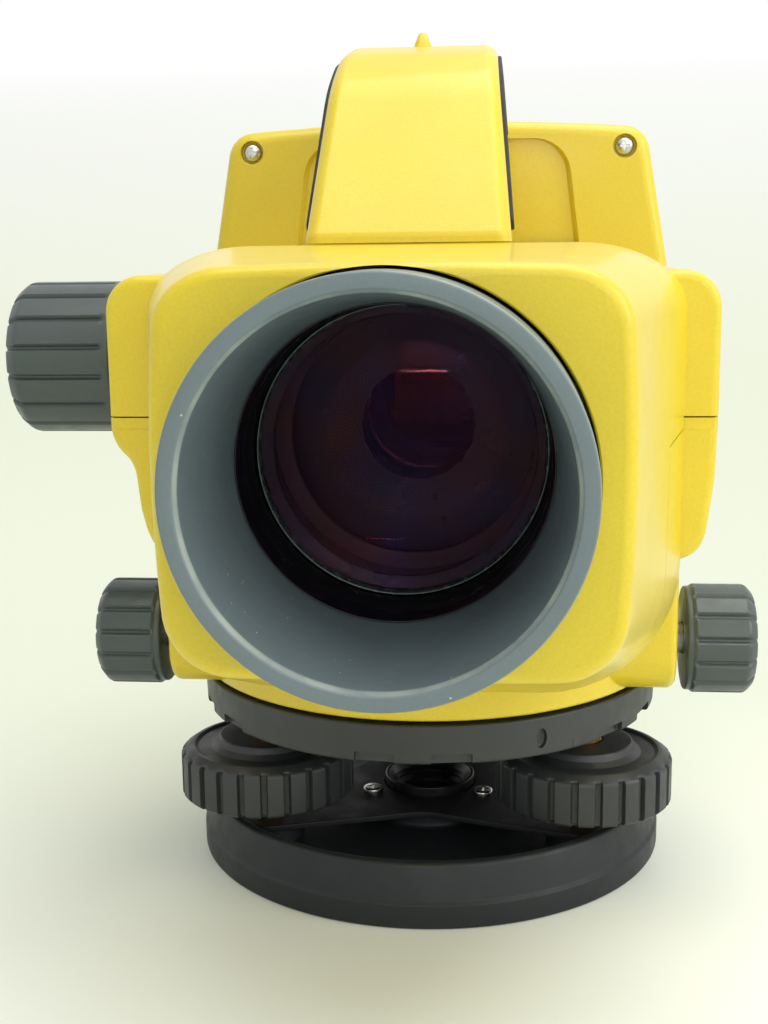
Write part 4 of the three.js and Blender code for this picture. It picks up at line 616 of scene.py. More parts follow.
@dataclass(frozen=True)
class Finish:
    """One finish of the level.

    Colours are screen values, and sizes and depths are millimetres.
    """

    name: str
    slot: str
    colour: Colour
    roughness: float
    metallic: float = 0.0
    grain: Grain = Grain.SMOOTH
    grain_size: float = 0.6
    grain_depth: float = 0.02
    mottle: float = 0.06
    mottle_size: float = 14.0
    gloss_drift: float = 0.08
    coat: float = 0.0
    coat_roughness: float = 0.13
    coat_index: float = 1.38
    index: float = 1.5
    dust: float = 0.0
    dust_colour: Colour = (215, 215, 205)
    dust_size: float = 2.6
    axis: Axis = Axis.Z
    centre: Place = (0.0, 0.0, 0.0)

    def about(self, axis: Axis, centre: Place, name: str) -> "Finish":
        """The same finish with its turning marks about another axis."""
        return replace(self, axis=axis, centre=centre, name=name)

    def material(self) -> bpy.types.Material:
        """Build the material, or return the one that was built before.

        Returns:
            The material.
        """
        found = bpy.data.materials.get(self.name)
        if found is not None:
            return found
        shader = Shader(self.name)
        self.paint(shader)
        return shader.material

    def paint(self, shader: Shader) -> None:
        """Lay colour, gloss and grain into the shader.

        Args:
            shader: The material's node tree.
        """
        plain = linear(self.colour)
        lighter = tuple(min(1.0, c * (1 + self.mottle)) for c in plain[:3]) + (1.0,)
        darker = tuple(c * (1 - self.mottle) for c in plain[:3]) + (1.0,)
        drift = shader.noise(self.mottle_size, 3.0)
        colour = shader.mix(shader.spread(drift, 0, 1, 0.3, 0.7), darker, lighter)
        rough = shader.spread(
            shader.noise(self.mottle_size / 3, 4.0), max(0.0, self.roughness - self.gloss_drift),
            min(1.0, self.roughness + self.gloss_drift), 0.3, 0.7)
        fine, depth = self.texture(shader)
        if self.grain in (Grain.SPRAYED, Grain.MOULDED, Grain.RUBBER):
            speckle = shader.spread(fine, 1 - self.mottle, 1 + self.mottle, 0.3, 0.7)
            colour = shader.times(colour, speckle)
        if self.dust > 0:
            colour = shader.mix(self.specks(shader), colour, linear(self.dust_colour))
        shader.feed(shader.surface, {
            "Base Color": colour, "Roughness": rough, "Metallic": self.metallic,
            "IOR": self.index})
        if self.coat > 0:
            shader.feed(shader.surface, {
                "Coat Weight": self.coat, "Coat Roughness": self.coat_roughness,
                "Coat IOR": self.coat_index})
        if depth > 0:
            shader.feed(shader.surface, {"Normal": shader.bump(fine, depth)})

    def texture(self, shader: Shader) -> tuple[Socket, float]:
        """Height pattern of the grain, and its depth.

        Args:
            shader: The material's node tree.

        Returns:
            The pattern, and the depth in millimetres.
        """
        if self.grain is Grain.TURNED:
            back = Vector(self.centre) + TURNING_AXIS
            moved = shader.node("ShaderNodeMapping", {
                "Vector": shader.place, "Location": tuple(-c * MM for c in back)}
            ).outputs["Vector"]
            rings = shader.node("ShaderNodeTexWave", {
                "Vector": moved, "Scale": 1 / (self.grain_size * MM * 20), "Distortion": 1.5,
                "Detail": 2.0, "Detail Scale": 4.0}, wave_type="RINGS",
                rings_direction=self.axis.name, wave_profile="SIN").outputs["Fac"]
            return rings, self.grain_depth
        if self.grain is Grain.BRUSHED:
            along = {Axis.X: (0.05, 1, 1), Axis.Y: (1, 0.05, 1), Axis.Z: (1, 1, 0.05)}
            return shader.noise(self.grain_size, 3.0, Vector(along[self.axis])), self.grain_depth
        fine = shader.noise(self.grain_size, 2.0)
        if self.grain is Grain.MOULDED:
            cells = shader.node("ShaderNodeTexVoronoi", {
                "Vector": shader.place, "Scale": 1 / (self.grain_size * MM)},
                feature="SMOOTH_F1").outputs["Distance"]
            fine = shader.math("MULTIPLY", fine, cells)
        depth = 0.0 if self.grain is Grain.SMOOTH else self.grain_depth
        return fine, depth

    def specks(self, shader: Shader) -> Socket:
        """Share of the dust's colour, in specks that gather in patches.

        Args:
            shader: The material's node tree.

        Returns:
            The share.
        """
        cells = shader.node("ShaderNodeTexVoronoi", {
            "Vector": shader.place, "Scale": 1 / (self.dust_size * MM)}, feature="F1")
        dots = shader.spread(cells.outputs["Distance"], 1, 0, 0.045, 0.08)
        patches = shader.spread(shader.noise(self.dust_size * 4, 2.0), 0, self.dust, 0.52, 0.62)
        return shader.math("MULTIPLY", dots, patches)


@dataclass(frozen=True)
class PaleLipFinish(Finish):
    """Paint that turns pale along a lip, between two places along the Y axis of the model."""

    lip: Point = (0.0, 0.0)
    lip_fade: float = 0.3
    lip_colour: Colour = (166, 175, 164)

    def paint(self, shader: Shader) -> None:
        """Lay the pale lip over the paint.

        Args:
            shader: The material's node tree.
        """
        super().paint(shader)
        paint = shader.surface.inputs["Base Color"].links[0].from_socket
        along = shader.node("ShaderNodeSeparateXYZ", {"Vector": shader.place}).outputs["Y"]
        low, high = (place * MM for place in self.lip)
        soft = self.lip_fade * MM
        band = shader.math("MULTIPLY", shader.spread(along, 0, 1, low - soft, low),
                           shader.spread(along, 1, 0, high, high + soft))
        patchy = shader.spread(shader.noise(9.0, 4.0), 0.15, 0.8, 0.35, 0.65)
        share = shader.math("MULTIPLY", band, patchy)
        shader.feed(shader.surface, {"Base Color": shader.mix(share, paint, linear(self.lip_colour))})


@dataclass(frozen=True)
class GlassFinish(Finish):
    """Clear or coated glass, with a faint film of dust on it."""

    clarity: float = 1.0
    tint: Colour = (255, 255, 255)
    blush: Colour | None = None

    def paint(self, shader: Shader) -> None:
        """Set the glass's own values, with dust in its gloss and drift in its coat.

        Args:
            shader: The material's node tree.
        """
        film = shader.spread(shader.noise(self.dust_size, 4.0), self.roughness,
                             self.roughness + self.gloss_drift, 0.5, 0.75)
        body = shader.mix(shader.spread(shader.noise(self.mottle_size), 0, self.mottle),
                          linear(self.colour), linear(self.dust_colour))
        coat: object = linear(self.tint)
        if self.blush is not None:
            coat = shader.mix(
                shader.spread(shader.noise(11.0, 3.0), 0, 1, 0.42, 0.62), coat, linear(self.blush))
        shader.feed(shader.surface, {
            "Base Color": body, "Roughness": film, "IOR": self.index,
            "Transmission Weight": self.clarity, "Specular Tint": coat})


@dataclass(frozen=True)
class ScreenFinish(Finish):
    """Liquid crystal panel: a pale green-grey field with a fine dot grid."""

    def paint(self, shader: Shader) -> None:
        """Lay the dot grid over the field.

        Args:
            shader: The material's node tree.
        """
        super().paint(shader)
        grid = shader.node("ShaderNodeTexChecker", {
            "Vector": shader.place, "Scale": 1 / (self.grain_size * MM),
            "Color1": linear(self.colour), "Color2": linear(self.dust_colour)})
        shader.feed(shader.surface, {"Base Color": grid.outputs["Color"]})


YELLOW = Finish(
    "yellow sprayed paint", "yellow_paint", (223, 199, 38), 0.4, grain=Grain.SPRAYED,
    grain_size=0.55, grain_depth=0.022, mottle=0.035, mottle_size=30, gloss_drift=0.05, coat=0.35)
CHARCOAL = Finish(
    "charcoal moulded plastic", "charcoal_plastic", (51, 54, 55), 0.46, grain=Grain.MOULDED,
    grain_size=0.5, grain_depth=0.02, mottle=0.05)
BASE_PAINT = Finish(
    "black base paint", "base_paint", (32, 36, 39), 0.5, grain=Grain.SPRAYED, grain_size=0.7,
    grain_depth=0.012, mottle=0.05, index=1.4)
DISH_BLACK = replace(
    BASE_PAINT, name="black dish paint", colour=(17, 18, 22), roughness=0.6, index=1.5)
KNOB_RUBBER = Finish(
    "dark knob rubber", "knob_rubber", (68, 78, 76), 0.36, grain=Grain.RUBBER, grain_size=0.5,
    grain_depth=0.012, mottle=0.05)
HOOD_GREY = PaleLipFinish(
    "slate hood paint", "slate_grey", (106, 120, 123), 0.38, grain=Grain.SPRAYED, grain_size=0.6,
    grain_depth=0.01, mottle=0.03, dust=1.0, dust_size=2.4, lip=(-128.1, -127.3))
BLACK_METAL = Finish(
    "black anodised metal", "black_anodised", (22, 21, 24), 0.34, 0.3, grain=Grain.TURNED,
    grain_size=0.25, grain_depth=0.006, mottle=0.08)
# Pale teal metal on the glossy black retaining ring is a painted highlight: it stands in for the
# bright teal line of light along its edge.
RING_PAINTED_HIGHLIGHT = Finish(
    "lens ring painted with its highlight", "black_anodised", (78, 92, 90), 0.24, 0.5, mottle=0.2,
    mottle_size=5)
STEEL = Finish("bare turned steel", "bare_steel", (196, 196, 190), 0.26, 1.0,
               grain=Grain.TURNED, grain_size=0.2, grain_depth=0.004, mottle=0.06)
BRASS = Finish("turned brass", "brass", (190, 152, 82), 0.3, 1.0,
               grain=Grain.TURNED, grain_size=0.25, grain_depth=0.005, mottle=0.1)
SOFT_BLACK = Finish(
    "soft black rubber", "soft_black", (40, 42, 42), 0.75, grain=Grain.RUBBER, grain_size=0.4,
    grain_depth=0.02, mottle=0.08)
KEY_GREY = Finish(
    "grey key rubber", "key_grey", (143, 150, 152), 0.62, grain=Grain.RUBBER, grain_size=0.35,
    grain_depth=0.01, mottle=0.04)
BATTERY_CASE = Finish(
    "battery case plastic", "battery_case", (48, 49, 52), 0.5, grain=Grain.MOULDED, grain_size=0.6,
    grain_depth=0.02)
BOARD = Finish("lacquered circuit board", "circuit_board", (31, 96, 60), 0.35,
               grain=Grain.BRUSHED, grain_size=0.8, grain_depth=0.02, mottle=0.15, coat=0.4)
MIRROR = Finish(
    "silvered mirror", "mirror_silver", (223, 227, 228), 0.04, 1.0, mottle=0.02, gloss_drift=0.02)
LENS_GLASS = GlassFinish(
    "violet coated glass", "coated_glass", (200, 186, 196), 0.0, mottle=0.015, gloss_drift=0.02,
    tint=(68, 54, 108), blush=(104, 46, 50), index=1.6)
INNER_GLASS = GlassFinish(
    "coated inner glass", "clear_glass", (150, 132, 158), 0.0, mottle=0.02, gloss_drift=0.04,
    tint=(74, 66, 112), blush=(92, 50, 70))
CLEAR_GLASS = GlassFinish(
    "clear glass", "clear_glass", (225, 238, 234), 0.0, mottle=0.02, gloss_drift=0.06)
LEVEL_FLUID = GlassFinish(
    "green level fluid", "clear_glass", (196, 224, 120), 0.02, clarity=0.6, mottle=0.05)
SCREEN = ScreenFinish(
    "liquid crystal panel", "circuit_board", (128, 142, 118), 0.3, dust_colour=(120, 134, 111),
    grain_size=0.55, coat=0.2)
SCREEN_GLASS = GlassFinish(
    "display window", "clear_glass", (190, 205, 198), 0.03, clarity=0.85, mottle=0.02)
LENS_CELL = Finish(
    "brown lens cell", "black_anodised", (118, 104, 94), 0.6, grain=Grain.TURNED, grain_size=0.25,
    grain_depth=0.006, axis=Axis.Y, centre=(0, *ON_SIGHT))


class SubAssembly:
    """Group of pieces that are built and dressed together."""

    def build(self) -> None:
        """Build every piece of the group."""
        raise NotImplementedError

    def add(self, name: str, mesh: BMesh, finish: Finish, body: str, *nodes: str,
            sharp: float = SHARP_ANGLE, even: bool = False) -> bpy.types.Object:
        """Turn a mesh into a finished piece of the level.

        Args:
            name: The piece's own name.
            mesh: Its mesh in millimetres; it is used up.
            finish: What it is made of.
            body: The body that it moves with.
            nodes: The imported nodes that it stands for.
            sharp: Angle past which an edge stays crisp.
            even: Whether large faces keep flat shading beside rounded edges.

        Returns:
            The piece's object.
        """
        bmesh.ops.translate(mesh, vec=TURNING_AXIS, verts=mesh.verts)
        bmesh.ops.scale(mesh, vec=(MM, MM, MM), verts=mesh.verts)
        obj = placed(name, mesh)
        data = obj.data
        for face in data.polygons:
            face.use_smooth = True
        data.set_sharp_from_angle(angle=sharp)
        data.materials.append(finish.material())
        if even:
            weighted = obj.modifiers.new("even shading", "WEIGHTED_NORMAL")
            weighted.keep_sharp = True
        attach(obj, body)
        if nodes:
            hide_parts(*nodes)
        LOG.info("%s: %d faces, %s", name, len(data.polygons), finish.name)
        return obj


@dataclass
class Grooves:
    """Grooves along a round grip."""

    count: int
    share: float
    depth: float
    start: float
    end: float
    fade: float
    flat: float = 0.5
    land_steps: int = 3
    cut_steps: int = 8

    def level(self, at: float) -> float:
        """Depth of the grooves at a place along the grip."""
        return self.depth * eased(min(at - self.start, self.end - at) / self.fade)

    def outline(self, radius: float, at: float) -> Outline:
        """Outline of the grip at a place along it.

        Args:
            radius: Radius of the lands.
            at: The place.

        Returns:
            Its points.
        """
        depth = min(self.level(at), radius * 0.1)
        pitch = FULL_TURN / self.count
        half = pitch * self.share / 2
        sides = [2 * k / self.cut_steps - 1 for k in range(self.cut_steps + 1)]
        shape = [(side, eased((1 - abs(side)) / (1 - self.flat))) for side in sides]
        outline: Outline = []
        for i in range(self.count):
            centre = (i + 0.5) * pitch
            outline += [polar(radius - depth * drop, centre + side * half) for side, drop in shape]
            land = (pitch - 2 * half) / self.land_steps
            outline += [polar(radius, centre + half + land * k) for k in range(1, self.land_steps)]
        return outline


def grip(axis: Axis, corners: Sequence[Corner], grooves: Grooves, place: Point, rings: int = 6
         ) -> BMesh:
    """Grooved grip about an axis.

    Args:
        axis: Direction of the grip.
        corners: Profile from one end face to the other: radius, place and corner radius.
        grooves: The grooves along it.
        place: Where its axis passes.
        rings: Extra sections at each end of the grooves.

    Returns:
        The closed mesh.
    """
    profile = filleted(corners, closed=False)
    low, high = min(at for _, at in profile), max(at for _, at in profile)
    extra = []
    for start, end in ((grooves.start, grooves.start + grooves.fade),
                       (grooves.end - grooves.fade, grooves.end)):
        extra += [start + (end - start) * k / rings for k in range(rings + 1)]
    rising = profile[0][1] < profile[-1][1]
    points = list(profile)
    for at in extra:
        if low < at < high and all(abs(at - other) > 0.05 for _, other in points):
            for i in range(len(points) - 1):
                (r0, a0), (r1, a1) = points[i], points[i + 1]
                if min(a0, a1) < at < max(a0, a1):
                    share = (at - a0) / (a1 - a0)
                    points.insert(i + 1, (r0 + (r1 - r0) * share, at))
                    break
    points = points if rising else points[::-1]
    return loft(axis, [(at, grooves.outline(radius, at)) for radius, at in points], place)


def thread(radius: float, depth: float, pitch: float, start: float, end: float) -> list[Corner]:
    """Profile of a thread between two heights, as rings.

    Args:
        radius: Radius of the crests.
        depth: Depth, or less than 0 for a bore.
        pitch: Distance between crests.
        start: First height.
        end: Last height.

    Returns:
        Corners of the profile.
    """
    corners: list[Corner] = []
    count = max(1, round(abs(end - start) / pitch))
    step = (end - start) / count
    for i in range(count):
        at = start + (end - start) * i / count
        corners += [(radius, at + step * 0.1, 0), (radius - depth, at + step * 0.5, 0),
                    (radius, at + step * 0.9, 0)]
    return corners


SIDES = ((-1, "left"), (1, "right"))
FEET: dict[str, Point] = {
    "left": (-FOOT_CIRCLE * math.cos(math.pi / 6), -FOOT_CIRCLE / 2),
    "right": (FOOT_CIRCLE * math.cos(math.pi / 6), -FOOT_CIRCLE / 2),
    "rear": (0.0, FOOT_CIRCLE),
}


@dataclass
class LevellingBase(SubAssembly):
    """Base plate, tripod bush and the spring plate with its screws."""

    radius: float = 53.8
    height: float = 13.6
    band: float = 5.2
    band_inset: float = 0.7
    taper: float = 2.1
    rim: float = 2.2
    floor: float = 6.0
    boss: float = 16.0
    post_height: float = 9.7
    post_radius: float = 8.0
    cup_radius: float = 4.7
    bush_radius: float = 10.7
    bush_bore: float = 7.9
    bush_top: float = 13.6
    bush_pitch: float = 2.309
    plate_thickness: float = 1.4
    plate_reach: float = 47.5
    arm_width: float = 17.0
    waist: float = 19.2
    ball_radius: float = 4.2
    screw_place: float = 15.0
    screw_radius: float = 2.3

    def build(self) -> None:
        """Build the base's pieces."""
        self.plate()
        self.bush()
        self.spring()
        self.screws()

    def plate(self) -> None:
        """Dished casting with three posts for the ball feet."""
        inner = self.radius - self.taper - self.rim
        bore = self.bush_radius + FIT_GAP
        mesh = spun(Axis.Z, [
            (bore, 0, 0.3), (self.radius, 0, 0.8), (self.radius, self.band, 0.25),
            (self.radius - self.band_inset, self.band + self.band_inset, 0.5),
            (self.radius - self.taper, self.height, 1.1), (inner, self.height, 0.9),
            (inner - 1.2, self.floor, 2.5), (self.boss, self.floor, 1.2),
            (self.boss, self.post_height, 0.4), (bore, self.post_height, 0.3)], steps=128)
        mesh = fused(mesh, *(rod(Axis.Z, self.post_radius, self.floor - 1, self.post_height,
                                 place, 0.3) for place in FEET.values()))
        mesh = carved(
            mesh, *(ball(self.cup_radius, (*place, BALL_HEIGHT), 24) for place in FEET.values()))
        self.add("base_casting", mesh, BASE_PAINT, "base", "base_plate")

    def bush(self) -> None:
        """Tripod bush with its thread and a dished mouth."""
        corners = [(self.bush_bore + 0.4, FIT_GAP, 0), (self.bush_radius, FIT_GAP, 0.2),
                   (self.bush_radius, self.bush_top, 0.35), (9.9, self.bush_top, 0.2),
                   (self.bush_bore + 0.9, self.bush_top - 1.8, 0.2)]
        corners += thread(self.bush_bore, -0.75, self.bush_pitch, self.bush_top - 2.4, 1.0)
        blackened = BLACK_METAL.about(Axis.Z, (0, 0, 0), "blackened bush brass")
        self.add("threaded_bush", spun(Axis.Z, corners, steps=64),
                 replace(blackened, slot="brass"), "base", "tripod_bush")

    def spring(self) -> None:
        """Three-armed spring plate that holds the ball feet down."""
        corners: list[Corner] = []
        half = self.arm_width / 2
        for i in range(3):
            along = i * FULL_TURN / 3 + QUARTER_TURN
            for reach, side in ((self.plate_reach, -half), (self.plate_reach, half)):
                corners.append((reach * math.cos(along) - side * math.sin(along),
                                reach * math.sin(along) + side * math.cos(along), 5.0))
            corners.append((*polar(self.waist, along + math.pi / 3), 9.0))
        low = self.post_height + FIT_GAP
        mesh = prism(Axis.Z, filleted(corners, steps=8), low, low + self.plate_thickness, 0.3)
        holes = [rod(Axis.Z, self.ball_radius - 0.15, low - 1, low + 3, place)
                 for place in FEET.values()]
        holes.append(rod(Axis.Z, self.bush_radius + FIT_GAP, low - 1, low + 3, steps=64))
        mesh = carved(mesh, gathered(*holes))
        self.add("spring_star", mesh, DISH_BLACK, "base", "spring_plate", even=True)

    def screws(self) -> None:
        """Three small cross-head screws on the spring plate."""
        top = self.post_height + FIT_GAP + self.plate_thickness
        heads = []
        for i in range(3):
            place = polar(self.screw_place, i * FULL_TURN / 3 + QUARTER_TURN)
            head = rod(Axis.Z, self.screw_radius, top - 0.6, top + 1.1, place, 0.55)
            arms = [block(span(place[0], a), span(place[1], b), (top + 0.4, top + 2))
                    for a, b in ((1.3, 0.3), (0.3, 1.3))]
            heads.append(carved(head, *arms))
        self.add("plate_screws", gathered(*heads), STEEL, "base")


@dataclass
class FootScrews(SubAssembly):
    """The three levelling screws, each a knob on a brass stud."""

    knob_radius: float = 19.4
    low: float = 17.0
    height: float = 11.2
    collar_radius: float = 11.3
    collar_top: float = 30.2
    stud_radius: float = 4.0
    stud_top: float = 40.2
    ball: float = 4.2
    neck: float = 2.8
    shoulder: float = 13.0

    def build(self) -> None:
        """Build the pieces of each foot screw."""
        for side, place in FEET.items():
            self.knob(side, place)
            self.stud(side, place)

    def knob(self, side: str, place: Point) -> None:
        """Knob with 24 lands, a flat rim on top and a low collar.

        Args:
            side: Which foot.
            place: Where its axis passes.
        """
        top = self.low + self.height
        rim = self.knob_radius
        grooves = Grooves(
            24, 0.34, 1.2, self.low - 1, top - 0.7, 1.4, flat=0.6, land_steps=2, cut_steps=6)
        mesh = grip(Axis.Z, [
            (3.0, self.low, 0), (rim - 0.7, self.low, 0.3), (rim, self.low + 0.7, 0.3),
            (rim, top - 1.5, 1.2), (rim - 2.2, top, 0.8), (rim - 3.0, top, 0.4),
            (rim - 3.8, top - 0.5, 0.4), (self.collar_radius + 1.3, top - 0.5, 0.5),
            (self.collar_radius, top + 0.5, 0.6), (self.collar_radius - 0.6, self.collar_top, 0.6),
            (3.0, self.collar_top, 0)], grooves, place)
        hole = rod(Axis.Z, self.stud_radius + FIT_GAP, self.low - OVERRUN,
                   self.collar_top + OVERRUN, place)
        mesh = carved(mesh, hole)
        self.add(f"foot_grip_{side}", mesh, CHARCOAL, f"foot_screw_{side}", f"foot_knob_{side}",
                 sharp=math.radians(40))

    def stud(self, side: str, place: Point) -> None:
        """Brass stud with its ball foot and fine thread.

        Args:
            side: Which foot.
            place: Where its axis passes.
        """
        start = math.pi - math.asin(self.neck / self.ball)
        steps = 14
        corners: list[Corner] = [(self.ball * math.sin(start * k / steps),
                                  BALL_HEIGHT - self.ball * math.cos(start * k / steps), 0)
                                 for k in range(steps + 1)]
        corners += [(self.neck, self.shoulder, 0.2), (self.stud_radius, self.shoulder, 0.3),
                    (self.stud_radius, self.collar_top, 0)]
        corners += thread(self.stud_radius, 0.35, 0.75, self.collar_top, self.stud_top - 0.6)
        corners += [(self.stud_radius - 0.5, self.stud_top, 0.1), (0, self.stud_top, 0)]
        self.add(f"foot_screw_stud_{side}", spun(Axis.Z, corners, place, SMALL_SPIN_STEPS),
                 BRASS.about(Axis.Z, (*place, 0), f"brass of {side} foot"),
                 f"foot_screw_{side}", f"foot_stud_{side}")


@dataclass
class LevellingStage(SubAssembly):
    """Levelling head and the black ring round it."""

    head_low: float = 34.6
    head_thickness: float = 6.5
    head_radius: float = 49.2
    hub_radius: float = 18.0
    hub_rise: float = 4.9
    hub_drop: float = 4.0
    bush_radius: float = 4.45
    pocket_depth: float = 2.4
    pocket_circle: float = 28.0
    root_radius: float = 7.3
    root_depth: float = 12.3
    ring_radius: float = 52.5
    ring_low: float = 35.0
    ring_height: float = 8.4
    lip_inner: float = 47.7
    lip_thickness: float = 2.0
    notch_depth: float = 1.8
    notch_height: float = 2.3
    notch_width: float = 8.4
    notch_turns: tuple[float, ...] = (
        -8.7, 8.7, 51.3, 68.7, 111.3, 128.7, 171.3, 188.7, 231.3, 248.7, 291.3, 308.7)

    def build(self) -> None:
        """Build the head and the ring."""
        self.head()
        self.ring()

    def head(self) -> None:
        """Disc tapped for the foot screws, with pockets below."""
        top = self.head_low + self.head_thickness
        hub_top = top + self.hub_rise
        floor = hub_top - self.root_depth
        hub_low = self.head_low - self.hub_drop
        mesh = spun(Axis.Z, [
            (0, hub_low, 0), (self.hub_radius, hub_low, 1), (self.hub_radius, self.head_low, 0.8),
            (self.head_radius, self.head_low, 0.6), (self.head_radius, top, 0.6),
            (self.hub_radius, top, 0.8), (self.hub_radius, hub_top, 0.5),
            (self.root_radius, hub_top, 0.2), (self.root_radius, floor, 0), (0, floor, 0)])
        holes = [rod(Axis.Z, self.bush_radius, self.head_low - 2, top + 2, place)
                 for place in FEET.values()]
        share = -self.pocket_circle / FOOT_CIRCLE
        holes += [rod(Axis.Z, 6, self.head_low - 3, self.head_low + self.pocket_depth,
                      (x * share, y * share), 0.5) for x, y in FEET.values()]
        mesh = carved(mesh, gathered(*holes))
        self.add("head_disc", mesh, BLACK_METAL, "levelling_stage", "levelling_head")

    def ring(self) -> None:
        """Black ring with its grip notches, an oval dimple and two marks."""
        top = self.ring_low + self.ring_height
        inner = self.head_radius + 0.35
        mesh = spun(Axis.Z, [
            (inner, self.ring_low, 0.3), (self.ring_radius - 0.3, self.ring_low, 0.8),
            (self.ring_radius, top, 0.5), (self.lip_inner, top, 0.3),
            (self.lip_inner, top - self.lip_thickness, 0.2),
            (inner, top - self.lip_thickness, 0)], steps=144)
        tools = []
        for turn in self.notch_turns:
            tool = block(span(0, self.notch_width / 2),
                         (-self.ring_radius - 2, self.notch_depth - self.ring_radius),
                         (self.ring_low - 2, self.ring_low + self.notch_height), 0.3)
            tools.append(self.turned(tool, turn))
        for turn, tall in ((38.2, 2.2), (-29.8, 1.6)):
            mark = block(span(0, 0.25), (-self.ring_radius - 2, 0.35 - self.ring_radius),
                         (self.ring_low - 1, self.ring_low + tall))
            tools.append(self.turned(mark, turn))
        dimple = rod(Axis.Y, 1.25, -self.ring_radius - 2, 1.3 - self.ring_radius, (0, 0), 0.5)
        bmesh.ops.scale(dimple, vec=(1, 1, 1.7), verts=dimple.verts)
        bmesh.ops.translate(dimple, vec=(0, 0, self.ring_low + 3.9), verts=dimple.verts)
        tools.append(self.turned(dimple, 29.7))
        mesh = carved(mesh, gathered(*tools))
        self.add("grip_ring", mesh, CHARCOAL, "circle_ring", "circle_ring", even=True)

    @staticmethod
    def turned(mesh: BMesh, degrees: float) -> BMesh:
        """Tool turned about the vertical axis from the front towards +X."""
        bmesh.ops.rotate(mesh, verts=mesh.verts, matrix=Matrix.Rotation(math.radians(degrees), 3, "Z"))
        return mesh


@dataclass
class FineMotion(SubAssembly):
    """Worm shaft and the two fine-motion knobs."""

    shaft_radius: float = 3.4
    reach: float = 71.0
    inset: float = 2.0
    length: float = 14.7
    radius: float = 11.67
    core_radius: float = 3.8
    tip_radius: float = 4.85
    turns: int = 4
    wheel_pitch_radius: float = 17.5
    wheel_teeth: int = 48

    def build(self) -> None:
        """Build the shaft and both knobs."""
        self.shaft()
        for side, name in SIDES:
            self.knob(side, name)

    def shaft(self) -> None:
        """Steel shaft with a helical worm."""
        lead = FULL_TURN * self.wheel_pitch_radius / self.wheel_teeth
        end = self.reach - self.inset
        core = (self.turns / 2 + 1) * lead
        bar = spun(Axis.X, [
            (0, -end, 0), (self.shaft_radius, -end, 0.4), (self.shaft_radius, -core, 0),
            (self.core_radius, -core, 0.2), (self.core_radius, core, 0.2),
            (self.shaft_radius, core, 0), (self.shaft_radius, end, 0.4),
            (0, end, 0)], WORM_PLACE, 48)
        ridge = bmesh.new()
        half = 0.15 * lead
        start = -self.turns / 2 * lead
        profile = [(self.core_radius - 1, start - half * 1.5), (self.tip_radius, start - half / 2),
                   (self.tip_radius, start + half / 2), (self.core_radius - 1, start + half * 1.5)]
        verts = [ridge.verts.new((r, 0, at)) for r, at in profile]
        edges = [ridge.edges.new(pair) for pair in zip(verts, verts[1:] + verts[:1])]
        bmesh.ops.contextual_create(ridge, geom=edges)
        spun_geom = bmesh.ops.spin(ridge, geom=ridge.verts[:] + ridge.edges[:], cent=(0, 0, 0),
                                   axis=(0, 0, 1), dvec=(0, 0, lead / 24),
                                   angle=FULL_TURN * self.turns, steps=24 * self.turns
                                   )["geom_last"]
        bmesh.ops.contextual_create(ridge, geom=[g for g in spun_geom if isinstance(g, BMEdge)])
        worm = fused(bar, stood(ridge, Axis.X, WORM_PLACE))
        finish = STEEL.about(Axis.X, (0, *WORM_PLACE), "steel of worm shaft")
        self.add("worm_and_shaft", worm, finish, "fine_shaft", "worm_shaft")

    def knob(self, side: int, name: str) -> None:
        """Grooved knob on one end of the shaft.

        Args:
            side: -1 or 1 along X.
            name: The side's name.
        """
        inner = self.reach - self.length
        outer = self.reach
        r = self.radius
        corners = [(3.0, inner, 0), (r - 0.5, inner, 0.5), (r - 0.5, inner + 1.2, 0.3),
                   (r, inner + 1.9, 0.5), (r, outer - 1.9, 1.7), (r - 1.9, outer - 0.15, 1.8),
                   (r * 0.5, outer, 5.0), (0.6, outer, 0)]
        corners = [(radius, side * at, fillet) for radius, at, fillet in corners]
        bounds = sorted((side * (inner + 1.4), side * (outer + 2)))
        grooves = Grooves(14, 0.34, 0.8, bounds[0], bounds[1], 1.0, flat=0.1, land_steps=4)
        mesh = grip(Axis.X, corners, grooves, WORM_PLACE)
        ends = sorted((side * (inner - 2), side * (outer - self.inset + FIT_GAP)))
        mesh = carved(mesh, rod(Axis.X, self.shaft_radius + FIT_GAP, *ends, WORM_PLACE))
        self.add(f"fine_grip_{name}", mesh, KNOB_RUBBER, "fine_shaft", f"fine_knob_{name}")


